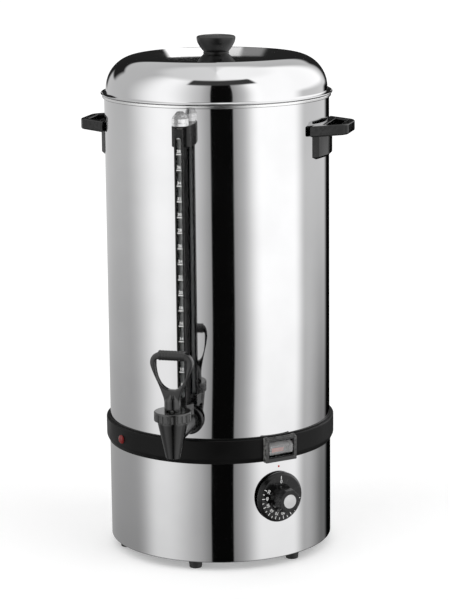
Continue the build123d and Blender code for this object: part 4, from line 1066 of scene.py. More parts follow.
    def surroundings(self) -> None:
        """Light the world: white to the camera, plain to matt surfaces, panels to polished ones."""
        world = bpy.data.worlds.new("studio")
        bpy.context.scene.world = world
        world.use_nodes = True
        world.cycles.sampling_method = "NONE"
        g = Graph(world.node_tree)
        way = g.add("TexCoord").outputs["Generated"]
        turn = g.add("Mapping", {"Vector": way, "Rotation": (0.0, 0.0, -math.radians(self.camera_azimuth))})
        part = g.add("SeparateXYZ", {0: turn.outputs[0]})
        behind = g.maths("MULTIPLY", part.outputs[1], -1.0)
        azimuth = g.maths("DEGREES", g.maths("ARCTAN2", part.outputs[0], behind))
        turned_away = g.maths("ABSOLUTE", azimuth)
        elevation = g.maths("DEGREES", g.maths("ARCSINE", part.outputs[2]))
        leaning = g.maths("ADD", azimuth, g.remap(elevation, -17.0, -12.0, 3.5, 0.0))
        mask_tree = self.panel_group()
        level: object = self.room_level
        for panel in self.panels:
            sockets = {n: float(getattr(panel, n.lower().replace(" ", "_"))) for n in PANEL_SOCKETS}
            sockets |= {"Azimuth": turned_away if panel.both_sides else leaning, "Elevation": elevation}
            mask = g.group(mask_tree, sockets)
            mask.label = panel.name
            level = g.add("Mix", {0: mask.outputs[0], 2: level, 3: panel.level}).outputs[0]
        falling = g.remap(elevation, -26.0, -5.0, 0.52, 1.0)
        sinking = g.remap(elevation, -60.0, -30.0, 0.5, 1.0)
        mirrored = g.maths("MULTIPLY", g.maths("MULTIPLY", level, falling), sinking)
        path = g.add("LightPath")
        glossy = g.maths("MAXIMUM", path.outputs["Is Glossy Ray"], path.outputs["Is Transmission Ray"])
        strength = g.add("Mix", {0: glossy, 2: self.fill_level, 3: mirrored}).outputs[0]
        strength = g.add("Mix", {0: path.outputs["Is Camera Ray"], 2: strength, 3: 1.0}).outputs[0]
        g.tree.links.new(strength, g.tree.nodes["Background"].inputs["Strength"])
        g.tree.nodes["Background"].inputs["Color"].default_value = (1.0, 1.0, 1.0, 1.0)

    def lamps(self) -> None:
        """Hang three wide soft lamps, which light matt surfaces and aren't mirrored."""
        for name, azimuth, height, energy in (
            ("left_lamp", -55.0, 45.0, 0.75),
            ("right_lamp", 60.0, 40.0, 0.75),
            ("top_lamp", 180.0, 75.0, 0.35),
        ):
            light = bpy.data.lights.new(name, "SUN")
            light.energy = energy
            light.angle = math.radians(self.lamp_spread)
            thing = linked(name, light)
            spin = rotated(self.camera_azimuth + azimuth, "Z")
            thing.matrix_world = spin @ rotated(90 - height, "X")
            thing.visible_glossy = False
            thing.visible_transmission = False

    def build(self) -> None:
        """Set up the whole studio."""
        bpy.context.scene.view_settings.view_transform = "Standard"
        self.camera()
        self.floor()
        self.surroundings()
        self.lamps()
        LOG.info("studio: camera, floor, %d panels and three lamps", len(self.panels))


# --- The urn's sub-assemblies ----------------------------------------------------------------


def dress(nodes: Sequence[str], material_name: str) -> None:
    """Give inner CAD nodes that no piece stands for a finish; their meshes stay as they are."""
    for name in nodes:
        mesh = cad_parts[name].data
        mesh.materials.clear()
        mesh.materials.append(finish(material_name))
        LOG.info("%s: %s", name, material_name)


def round_cutter(radius: float, azimuth: float, z: float, start: float, stop: float) -> Solid:
    """Round bar across the barrel's wall, to cut a hole with."""
    return disc(radius, 0.0, stop - start, steps=48).place(facing(azimuth, start, z))


def oblong_cutter(width: float, height: float, azimuth: float, z: float, start: float, stop: float) -> Solid:
    """Rectangular bar across the barrel's wall, to cut a window with."""
    return Solid.pressed(oblong(width, height), stop - start).place(outward(azimuth, start, z))


@dataclass
class Barrel:
    """The tank with its rolled rim, and the polished shell about it."""

    radius: float = 140.0
    wall: float = 0.8
    foot_z: float = 154.15
    rim_z: float = 578.0
    ring_levels: tuple[float, ...] = (170.0, 182.0, 205.6, 300.0, 420.0, 535.0, 541.0, 546.5)
    tank_radius: float = 131.0
    tank_wall: float = 1.0
    tank_floor_z: float = 166.4
    tank_corner: float = 12.0
    bead_radius: float = 142.4
    bead_drop: float = 4.6
    tap_z: float = 193.8
    tap_hole: float = 10.4
    handle_screw_z: float = 537.85
    handle_screw_turn: float = 18.3
    handle_screw_hole: float = 2.25
    bracket_hole_z: float = 543.75
    bracket_hole: float = 2.05

    def shell(self) -> None:
        """Outer shell, with holes for the tap, the handles, the gauge, the switch and the lamp."""
        inner = self.radius - self.wall
        top = self.rim_z - self.tank_wall
        line = Outline(inner, self.foot_z).to(self.radius, self.foot_z)
        for level in self.ring_levels:
            line.to(self.radius, level)
        line.to(self.radius, top).to(inner, top)
        for level in reversed(self.ring_levels):
            line.to(inner, level)
        body = Solid.turned(line.close())
        start = self.radius - 12
        stop = self.radius + 12
        cutters = [
            round_cutter(self.tap_hole, 0, self.tap_z, start, stop),
            round_cutter(self.bracket_hole, 0, self.bracket_hole_z, start, stop),
            round_cutter(LAMP_HOLE, LAMP_AZIMUTH, CONTROLS_Z, start, stop),
            oblong_cutter(*SWITCH_WINDOW, CONTROLS_AZIMUTH, CONTROLS_Z, start, stop),
        ]
        for side in (90, -90):
            for turn in (-self.handle_screw_turn, self.handle_screw_turn):
                hole = round_cutter(self.handle_screw_hole, side + turn, self.handle_screw_z, start, stop)
                cutters.append(hole)
        body.carve(*cutters)
        body.piece("polished_shell", Body.URN, Slot.POLISHED_STEEL, "mirror_steel", ["outer_shell"], sharp=40)

    def tank(self) -> None:
        """Tank pressed with a round-cornered floor and a rim rolled out over the shell."""
        wall = self.tank_wall
        bore = self.tank_radius - wall
        foot = self.rim_z - self.bead_drop
        line = Outline(0, self.tank_floor_z).to(bore, self.tank_floor_z, self.tank_corner, 10)
        line.to(bore, 182.0).to(bore, 205.6).to(bore, self.rim_z, 2.0, 5)
        line.to(self.bead_radius, self.rim_z, 2.0, 6).to(self.bead_radius, foot, 0.95, 5)
        line.to(140.05, foot, 0.3, 2).to(140.05, foot + 0.6).to(self.bead_radius - wall, foot + 1.6)
        line.to(self.bead_radius - wall, self.rim_z - wall, 1.0, 4)
        line.to(self.tank_radius, self.rim_z - wall, 1.0, 4)
        line.to(self.tank_radius, 205.6).to(self.tank_radius, 182.0)
        line.to(self.tank_radius, self.tank_floor_z - wall, self.tank_corner + wall, 10)
        body = Solid.turned(line.to(0, self.tank_floor_z - wall))
        body.carve(round_cutter(self.tap_hole, 0, self.tap_z, bore - 12, bore + 12))
        body.piece("rolled_rim_tank", Body.URN, Slot.POLISHED_STEEL, "drawn_steel", ["inner_tank"], sharp=40)

    def build(self) -> None:
        """Build the barrel."""
        self.shell()
        self.tank()
        dress(["tank_support_ring", "tie_rod", "tie_nut"], "plated_steel")
        dress(["heater_plate"], "cast_aluminium")
        dress(["heating_element", "thermal_cutout", "sensor_bulb", "capillary_tube"], "copper")
        dress(["terminal_block"], "white_plastic")


@dataclass
class Base:
    """Black band, steel base shell, bottom plate and feet."""

    band_z: float = 137.3
    top_z: float = 169.0
    radius: float = 141.0
    band_radius: float = 145.0
    chamfer: tuple[float, float] = (3.0, 6.2)
    ledge: float = 1.0
    lip_rise: float = 1.5
    lip_radius: float = 141.75
    fit: float = 0.05
    web: tuple[float, float, float] = (134.0, 152.15, 154.15)
    skin_inner: float = 142.4
    shell_z: float = 11.0
    shell_wall: float = 0.8
    shell_lip: float = 130.0
    shell_corner: float = 1.6
    dial_z: float = 90.5
    dial_hole: float = 6.0
    inlet_z: float = 71.0
    inlet_window: tuple[float, float] = (29.0, 21.4)
    inlet_screw: tuple[float, float] = (20.0, 1.85)
    plate_radius: float = 139.2
    foot_circle: float = 125.0
    foot_count: int = 6
    vent_circle: float = 92.0
    vent_count: int = 12

    def cutters(self, start: float, stop: float) -> list[Solid]:
        """Bars that open the switch's window and the lamp's hole."""
        return [
            oblong_cutter(*SWITCH_WINDOW, CONTROLS_AZIMUTH, CONTROLS_Z, start, stop),
            round_cutter(LAMP_HOLE, LAMP_AZIMUTH, CONTROLS_Z, start, stop),
        ]

    def band(self) -> None:
        """Moulded band with a chamfered foot, a ledge and a lip that hugs the shell."""
        inner = 140.0 + self.fit
        outer = self.band_radius
        ledge_z = self.top_z - self.lip_rise
        line = Outline(self.radius + self.fit, self.band_z).to(outer - self.chamfer[0], self.band_z, 0.5, 3)
        line.to(outer, self.band_z + self.chamfer[1], 1.2, 4)
        line.to(outer, ledge_z - self.ledge, 0.35, 3).to(outer - self.ledge, ledge_z, 0.35, 3)
        line.to(self.lip_radius, ledge_z, 0.3, 2).to(self.lip_radius, self.top_z, 0.4, 4)
        line.to(inner, self.top_z, 0.15, 2).to(inner, self.top_z - 5.5)
        line.to(self.skin_inner, self.top_z - 5.5).to(self.skin_inner, self.web[2])
        line.to(self.web[0], self.web[2]).to(self.web[0], self.web[1]).to(self.skin_inner, self.web[1])
        line.to(self.skin_inner, self.band_z + 4.7).to(self.radius + self.fit, self.band_z + 4.7)
        body = Solid.turned(line.close())
        body.carve(*self.cutters(125, 160))
        body.piece("moulded_band", Body.URN, Slot.BLACK_PLASTIC, "band_black", ["band_ring"])

    def shell(self) -> None:
        """Drawn base shell, turned in at the foot."""
        outer = self.radius
        inner = outer - self.shell_wall
        floor = self.shell_z + self.shell_wall
        line = Outline(self.shell_lip, self.shell_z).to(outer, self.shell_z, self.shell_corner, 6)
        line.to(outer, 56).to(outer, 84).to(outer, 97).to(outer, 135).to(outer, self.web[1])
        line.to(inner, self.web[1]).to(inner, 135).to(inner, 97).to(inner, 84).to(inner, 56)
        line.to(inner, floor, 0.8, 4).to(self.shell_lip, floor)
        body = Solid.turned(line.close())
        cutters = self.cutters(125, 160)
        cutters.append(round_cutter(self.dial_hole, 45, self.dial_z, 130, 150))
        cutters.append(oblong_cutter(*self.inlet_window, 180, self.inlet_z, 130, 150))
        for side in (-1, 1):
            spot = outward(180, 130, self.inlet_z) @ upright(side * self.inlet_screw[0])
            hole = disc(self.inlet_screw[1], 0, 20, steps=32).place(rotated(90, "X"))
            cutters.append(hole.place(spot))
        for place in self.foot_places():
            cutters.append(disc(2.25, self.shell_z - 1, floor + 1, steps=32).place(place))
        body.carve(*cutters)
        body.piece(
            "base_shell_drawn", Body.URN, Slot.POLISHED_STEEL, "mirror_steel", ["base_shell"], sharp=40
        )

    def foot_places(self) -> list[Matrix]:
        """Where the feet stand, the first of them at the front."""
        return [turn @ upright(0, -self.foot_circle) for turn in round_turns(self.foot_count)]

    def plate(self) -> None:
        """Bottom plate with a ring of vent slots."""
        pattern = Solid.slab(slot_hole(24, 4), 10, 15)
        along = upright(self.vent_circle) @ rotated(90, "Z")
        slots = [pattern.again().place(turn @ along) for turn in round_turns(self.vent_count)]
        for place in self.foot_places():
            slots.append(disc(2.25, 10, 15, steps=32).place(place))
        slots.append(disc(3.25, 10, 15, steps=32))
        body = disc(self.plate_radius, 11.8, 12.8, 0.2, steps=128).carve(*slots)
        body.piece("vented_plate", Body.URN, Slot.PLATED_STEEL, "plated_steel", ["bottom_plate"])

    def feet(self) -> None:
        """Rubber feet with a recess for the screw's head, and the screws."""
        line = Outline(2.05, 6).to(4.6, 6, 0.4, 3).to(4.6, 0, 0.5, 3).to(7.6, 0, 0.8, 4)
        line.to(9, 11, 0.5, 3).to(2.05, 11)
        foot = Solid.turned(line.close(), 64).repeat(self.foot_places())
        foot.piece("rubber_feet", Body.URN, Slot.BLACK_RUBBER, "black_rubber", ["feet"])
        shank = Outline(0, 3.6).to(3.9, 3.6, 0.7, 4).to(3.9, 6, 0.1, 2).to(1.95, 6).to(1.95, 17).to(0, 17)
        screw = Solid.turned(shank, 48).cross(5.0, 0.9, 3.0, 4.6).repeat(self.foot_places())
        screw.piece("cross_head_foot_screws", Body.URN, Slot.PLATED_STEEL, "plated_steel", ["foot_screws"])
        dress(["foot_nuts"], "plated_steel")

    def index_dot(self) -> None:
        """Red dot on the base above the dial, which marks the setting."""
        line = Outline(0, -0.1).to(1.35, -0.1).to(1.35, 0.12, 0.06, 3).to(0, 0.12)
        dot = Solid.turned(line, 32).place(facing(45.5, self.radius, 128.6))
        dot.piece("index_dot", Body.URN, Slot.RED_INSERT, "red_print")

    def build(self) -> None:
        """Build the base."""
        self.band()
        self.shell()
        self.plate()
        self.feet()
        self.index_dot()


@dataclass
class Lid:
    """Domed lid with its hemmed flange, locating ring and knob."""

    rim_z: float = 578.0
    crown_z: float = 626.9
    crown_radius: float = 2500.0
    shoulder_radius: float = 41.0
    side_radius: float = 137.9
    flare_radius: float = 3.4
    wall: float = 0.8
    flange_radius: float = 143.1
    hem_radius: float = 1.1
    screw_hole: float = 3.25
    lip: tuple[float, float, float, float] = (129.0, 137.0, 567.0, 585.0)

    def dome(self) -> None:
        """Dome: flat crown, deep round shoulder, straight side, flare and hemmed flange."""
        wall = self.wall
        flange_z = self.rim_z + wall
        centre_z = self.crown_z - self.crown_radius
        shoulder_x = self.side_radius - self.shoulder_radius
        reach = self.crown_radius - self.shoulder_radius
        shoulder_z = centre_z + math.sqrt(reach**2 - shoulder_x**2)
        lean = math.degrees(math.atan2(shoulder_x, shoulder_z - centre_z))
        hole = math.degrees(math.asin(self.screw_hole / self.crown_radius))
        start_z = centre_z + self.crown_radius * math.cos(math.radians(hole))
        line = Outline(self.screw_hole, start_z)
        line.sweep(0, centre_z, hole - lean, 10)
        line.sweep(shoulder_x, shoulder_z, lean - 90, 28)
        line.to(self.side_radius, flange_z + self.flare_radius)
        line.sweep(self.side_radius + self.flare_radius, flange_z + self.flare_radius, 90, 7)
        hem_z = flange_z - wall / 2 + 0.5
        line.to(self.flange_radius - self.hem_radius, flange_z)
        line.sweep(self.flange_radius, hem_z, -310.3, 22)
        line.to(self.side_radius + self.flare_radius, flange_z - wall)
        line.sweep(self.side_radius + self.flare_radius, flange_z + self.flare_radius, -90, 7)
        line.to(self.side_radius - wall, shoulder_z)
        line.sweep(shoulder_x, shoulder_z, 90 - lean, 28)
        line.sweep(0, centre_z, lean - hole, 10)
        dome = Solid.turned(line.close())
        dome.piece("domed_lid", Body.LID, Slot.POLISHED_STEEL, "mirror_steel", ["lid_dome"], sharp=50)

    def ring(self) -> None:
        """Pressed ring that keeps the lid in the tank's mouth."""
        inner, outer, low, high = self.lip
        line = Outline(inner, low).to(inner, self.rim_z, 1.2, 4).to(outer, self.rim_z, 1.2, 4).to(outer, high)
        line.to(outer - 0.8, high).to(outer - 0.8, self.rim_z + 0.8, 0.5, 3)
        line.to(inner - 0.8, self.rim_z + 0.8, 2.0, 4).to(inner - 0.8, low)
        ring_solid = Solid.turned(line.close())
        ring_solid.piece("locating_ring", Body.LID, Slot.POLISHED_STEEL, "drawn_steel", ["lid_locating_ring"])

    def knob(self) -> None:
        """Flared knob, dished under its brim."""
        z = self.crown_z
        line = Outline(3.05, z).to(16.0, z, 0.2, 2).to(16.0, z + 0.8, 0.3, 2).to(15.3, z + 1.4, 0.3, 3)
        line.to(17.6, z + 3.9, 1.0, 4).to(20.4, z + 8.0, 1.6, 4).to(23.2, z + 12.8, 2.0, 4)
        line.to(24.4, z + 17.9, 1.8, 5).to(24.15, z + 19.4, 0.5, 3).to(23.3, z + 20.5, 0.7, 4)
        line.to(21.5, z + 21.1, 0.8, 4).to(12.0, z + 22.2, 4.0, 5).to(0, z + 22.5)
        line.to(0, z + 13.0).to(3.05, z + 13.0)
        knob = Solid.turned(line.close(), 128)
        knob.piece("lift_knob", Body.LID, Slot.BLACK_PLASTIC, "knob_black", ["lid_knob"])

    def screw(self) -> None:
        """Washer and cross-headed screw under the crown."""
        z = self.crown_z - self.wall - 1.2 - 0.05
        ring(3.25, 9.0, z, z + 1.2, 0.2).piece(
            "knob_washer", Body.LID, Slot.PLATED_STEEL, "plated_steel", ["lid_knob_washer"]
        )
        line = Outline(0, z - 3.4).to(5.5, z - 3.4, 1.2, 5).to(5.5, z).to(3.0, z).to(3.0, self.crown_z + 12)
        body = Solid.turned(line.to(0, self.crown_z + 12), 48).cross(6.4, 1.1, z - 4.0, z - 1.8)
        body.piece("knob_screw", Body.LID, Slot.PLATED_STEEL, "plated_steel", ["lid_knob_screw"])

    def build(self) -> None:
        """Build the lid."""
        self.dome()
        self.ring()
        self.knob()
        self.screw()


@dataclass
class Handles:
    """The two side handles."""

    body_radius: float = 140.0
    top_z: float = 544.5
    thickness: float = 13.3
    root_x: float = 132.0
    root_half: float = 57.0
    grip_x: float = 171.5
    grip_half: float = 26.5
    corner: float = 8.5
    gap: tuple[float, float, float, float] = (144.0, 162.0, 35.1, 21.2)
    edge: float = 2.2
    plate_drop: float = 29.0
    plate: tuple[tuple[float, float], ...] = ((128.0, 46.0), (132.5, 46.0), (139.0, 38.0), (144.0, 14.0))

    def moulding(self) -> Solid:
        """The right handle: a flat loop with a bevelled plate below, hollowed to the shell."""
        low = self.top_z - self.thickness
        line = Outline(self.root_x, -self.root_half).to(self.grip_x, -self.grip_half, self.corner, 8)
        line.to(self.grip_x, self.grip_half, self.corner, 8).to(self.root_x, self.root_half)
        near, far, half_near, half_far = self.gap
        gap = Outline(near, -half_near).to(far, -half_far, 1.6, 4).to(far, half_far, 1.6, 4)
        gap.to(near, half_near, 1.2, 4)
        loop = Solid.slab(line.close(), low, self.top_z, [gap.close(1.2, 4)])
        loop.soften(self.edge, 5, 50, level_in(2))
        shape = Outline(self.plate[0][0], -self.plate[0][1])
        for x, half in self.plate[1:]:
            shape.to(x, -half)
        for x, half in reversed(self.plate):
            shape.to(x, half)
        foot = low - self.plate_drop
        plate = Solid.slab(shape.close(), foot, low + self.edge)
        plate.soften(3.0, 1, 50, lambda e: max(v.co.z for v in e.verts) < foot + FINE)
        plate.soften(0.5, 2, 12, lambda e: max(v.co.x for v in e.verts) > self.body_radius - 5)
        barrel = disc(self.body_radius + 0.05, foot - 20, self.top_z + 20, steps=ROUND)
        return loop.weld(plate).carve(barrel)

    def build(self) -> None:
        """Build both handles, the left as the right one's mirror image, and dress the screws."""
        right = self.moulding()
        left = right.again().place(Matrix.Scale(-1, 4, (1, 0, 0))).clean()
        for solid, name, node in ((right, "grip_right", "handle_right"), (left, "grip_left", "handle_left")):
            solid.piece(name, Body.URN, Slot.BLACK_PLASTIC, "handle_black", [node])
        dress(["handle_screws"], "plated_steel")


@dataclass
class Tap:
    """Non-drip tap: spout barrel on a threaded shank, collar, bonnet and tilting loop handle."""

    axis_y: float = -217.3
    tap_z: float = 193.8
    spout_z: float = 165.5
    seat_z: float = 189.0
    barrel_top_z: float = 212.0
    barrel_radius: float = 17.9
    tip_radius: float = 8.6
    neck_radius: float = 15.0
    neck_height: float = 7.5
    chamber_radius: float = 11.0
    outlet_radius: float = 5.5
    shank: tuple[float, float] = (12.5, 10.0)
    inlet_radius: float = 4.4
    collar: tuple[float, float, float] = (143.0, 6.0, 17.8)
    boss: tuple[float, float, float] = (167.0, 9.0, 17.2)
    bonnet_radius: float = 22.3
    bonnet_height: float = 11.5
    scallops: int = 24
    pin_z: float = 228.5
    pin_radius: float = 1.5
    cam_radius: float = 4.8
    cam_rate: float = 4.1253
    lift: float = 3.61
    loop_depth: float = 8.4
    loop_edge: float = 1.8
    loop_line: tuple[tuple[float, float, float], ...] = (
        (9.3, 9.0, 4.0),
        (15.2, 25.0, 6.0),
        (21.9, 39.0, 6.0),
        (26.2, 50.5, 3.2),
        (26.1, 57.0, 2.8),
        (22.6, 63.0, 3.0),
        (16.0, 66.0, 0.0),
    )
    gap_line: tuple[tuple[float, float, float], ...] = (
        (3.8, 20.8, 1.8),
        (10.8, 24.6, 3.6),
        (16.6, 33.0, 4.5),
        (19.4, 44.5, 4.5),
        (19.5, 57.3, 3.5),
    )
    neck_half: float = 9.3
    fork_half: float = 3.3
    grip_z: float = 290.4
    grip_radius: float = 6.1
    grip_half: float = 16.0
    grip_ribs: int = 9

    def at_pin(self) -> Matrix:
        """Place of the hinge pin."""
        return upright(0, self.axis_y, self.pin_z)

    def body(self) -> None:
        """Tapered spout barrel, shank and gauge boss, bored through."""
        top = self.barrel_top_z
        line = Outline(0, self.spout_z).to(self.tip_radius, self.spout_z, 0.6, 3)
        line.to(self.barrel_radius, top - 3.5, 0.5, 3).to(self.barrel_radius, top, 0.6, 3)
        line.to(self.neck_radius, top, 0.2, 2).to(self.neck_radius, top + self.neck_height, 0.5, 3)
        barrel = Solid.turned(line.to(0, top + self.neck_height), 128).place(upright(0, self.axis_y))
        front = self.collar[0] + self.collar[1]
        wide = disc(self.shank[0], 0, -self.axis_y - front - 11, steps=96).place(facing(0, front, self.tap_z))
        thread = disc(self.shank[1], 0, front - 116, 0.8, steps=96).place(facing(0, 116, self.tap_z))
        stand, radius, rise = self.boss
        boss = disc(radius, self.tap_z, self.tap_z + rise, 0.4).place(upright(0, -stand))
        barrel.weld(wide, thread, boss)
        barrel.carve(
            disc(self.chamber_radius, self.seat_z, top + 20).place(upright(0, self.axis_y)),
            disc(self.outlet_radius, self.spout_z - 5, self.seat_z + 1).place(upright(0, self.axis_y)),
            disc(self.inlet_radius, 0, -self.axis_y - 110).place(facing(0, 110, self.tap_z)),
            disc(2.7, self.tap_z, self.tap_z + rise + 2).place(upright(0, -stand)),
            disc(5.5, self.tap_z + rise - 6, self.tap_z + rise + 2).place(upright(0, -stand)),
        )
        barrel.piece("spout_barrel", Body.URN, Slot.BLACK_PLASTIC, "tap_black", ["tap_body"])

    def collar_ring(self) -> None:
        """Glossy collar with a rounded front."""
        stand, thickness, radius = self.collar
        line = Outline(10.05, 0).to(radius, 0, 0.5, 3).to(radius, thickness, 2.2, 7)
        line.to(13.4, thickness, 0.3, 2).to(12.9, thickness - 0.5, 0.2, 2).to(10.05, thickness - 0.5)
        collar = Solid.turned(line.close(), 96).place(facing(0, stand, self.tap_z))
        collar.piece("tap_collar_ring", Body.URN, Slot.BLACK_PLASTIC, "collar_black", ["tap_collar"])

    def bonnet(self) -> None:
        """Screw bonnet with scallops round its side."""
        low = self.barrel_top_z
        high = low + self.bonnet_height
        line = Outline(15.05, low).to(self.bonnet_radius, low, 0.9, 3).to(self.bonnet_radius, high, 1.4, 5)
        line.to(8.4, high, 0.3, 2).to(8.0, high - 0.5, 0.3, 2).to(3.05, high - 0.5)
        line.to(3.05, high - 3.5).to(15.05, high - 3.5)
        cap = Solid.turned(line.close(), 144)
        reach = self.bonnet_radius + 0.75
        places = [turn @ upright(reach) for turn in round_turns(self.scallops)]
        cap.carve(disc(1.5, low - 1, high - 2.2, 0.7, steps=20).repeat(places))
        cap.place(upright(0, self.axis_y))
        cap.piece("scalloped_bonnet", Body.URN, Slot.BLACK_PLASTIC, "bonnet_black", ["tap_bonnet"])

    def loop(self) -> Solid:
        """Flat loop of the handle, about the pin."""
        line = Outline(self.neck_half, -self.cam_radius)
        for x, z, cut in self.loop_line:
            line.to(x, z, cut, 6)
        for x, z, cut in reversed(self.loop_line):
            line.to(-x, z, cut, 6)
        line.to(-self.neck_half, -self.cam_radius)
        gap = Outline(-self.gap_line[0][0], self.gap_line[0][1])
        for x, z, cut in self.gap_line:
            gap.to(x, z, cut, 6)
        for x, z, cut in reversed(self.gap_line[1:]):
            gap.to(-x, z, cut, 6)
        body = Solid.pressed(line.close(), self.loop_depth, [gap.close(self.gap_line[0][2], 6)])
        body.soften(self.loop_edge, 4, 50, level_in(1))
        return body.place(upright(0, self.loop_depth / 2))

    def grip(self) -> Solid:
        """Ribbed bar across the top of the loop."""
        pitch = 2 * self.grip_half / self.grip_ribs
        low = self.grip_radius - 0.7
        line = Outline(0, -self.grip_half).to(low, -self.grip_half, 0.3, 2)
        for rib in range(self.grip_ribs):
            foot = -self.grip_half + rib * pitch
            line.to(self.grip_radius, foot + 0.25 * pitch, 0.25, 2)
            line.to(self.grip_radius, foot + 0.75 * pitch, 0.25, 2)
            if rib < self.grip_ribs - 1:
                line.to(low, foot + pitch, 0.2, 2)
        line.to(low, self.grip_half, 0.3, 2)
        bar = Solid.turned(line.to(0, self.grip_half), 64)
        return bar.place(upright(0, 0, self.grip_z - self.pin_z) @ rotated(90, "Y"))

    def lever(self) -> None:
        """Loop, neck and grip in one, with the cam heel and the fork for the stem cut out."""
        neck = Outline(0, -self.cam_radius).to(self.neck_half, -self.cam_radius)
        neck.to(self.neck_half, 9, 2.0, 5).to(4.2, 16, 1.5, 4)
        body = self.loop().weld(Solid.turned(neck.to(0, 16), 96), self.grip())
        side = rotated(90, "Z")
        room = 2 * self.neck_half
        reach = -self.cam_rate
        heel = Outline(reach, -room).to(reach, -self.cam_radius)
        for step in range(1, 11):
            turn = math.radians(5 * step)
            low = self.cam_radius + self.cam_rate * turn
            across = -low * math.sin(turn) - self.cam_rate * math.cos(turn)
            heel.to(across, -low * math.cos(turn) + self.cam_rate * math.sin(turn))
        heel.to(-room, 1.5).to(-room, -room)
        rear = Outline(4.3, -room).to(room, -room).to(room, 0).to(9.3, 0).to(4.3, -self.cam_radius, 0.0)
        spans = []
        for cutter in (heel.close(), rear.close()):
            spans.append(Solid.pressed(cutter, 2 * room).place(upright(-room) @ side))
        for turn in (0, 25, 50):
            fork = oblong(2 * self.fork_half, 25.6, 0, 0, -5.8)
            tilt = rotated(-turn, "X")
            place = tilt @ upright(-self.fork_half) @ side
            spans.append(Solid.pressed(fork, 2 * self.fork_half).place(place))
        spans.append(disc(self.pin_radius, 0, 2 * room, steps=32).place(facing(90, -room, 0)))
        body.carve(*spans).place(self.at_pin())
        body.piece("loop_lever", Body.LEVER, Slot.BLACK_PLASTIC, "tap_black", ["tap_handle"])

    def hinge(self) -> None:
        """Hinge pin with chamfered ends."""
        half = self.neck_half - 0.6
        pin = disc(self.pin_radius, -half, half, 0.3, steps=32)
        pin.place(self.at_pin() @ rotated(90, "Y"))
        pin.piece("hinge_pin", Body.LEVER, Slot.PLATED_STEEL, "plated_steel", ["tap_pin"])

    def spring(self) -> None:
        """Closing spring, a merged copy of the CAD node's coil."""
        coil = Solid.copied("tap_spring").piece(
            "coil_spring", Body.URN, Slot.SPRING_STEEL, "spring_wire", ["tap_spring"], even=False
        )
        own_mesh(coil)

    def build(self) -> None:
        """Build the tap."""
        self.body()
        self.collar_ring()
        self.bonnet()
        self.lever()
        self.hinge()
        self.spring()
        dress(["tap_stem"], "white_plastic")
        dress(["tap_seat"], "seal_silicone")
        dress(["tap_outer_washer", "tap_inner_washer"], "black_rubber")
        dress(["tap_spacer", "tap_back_nut"], "knob_black")


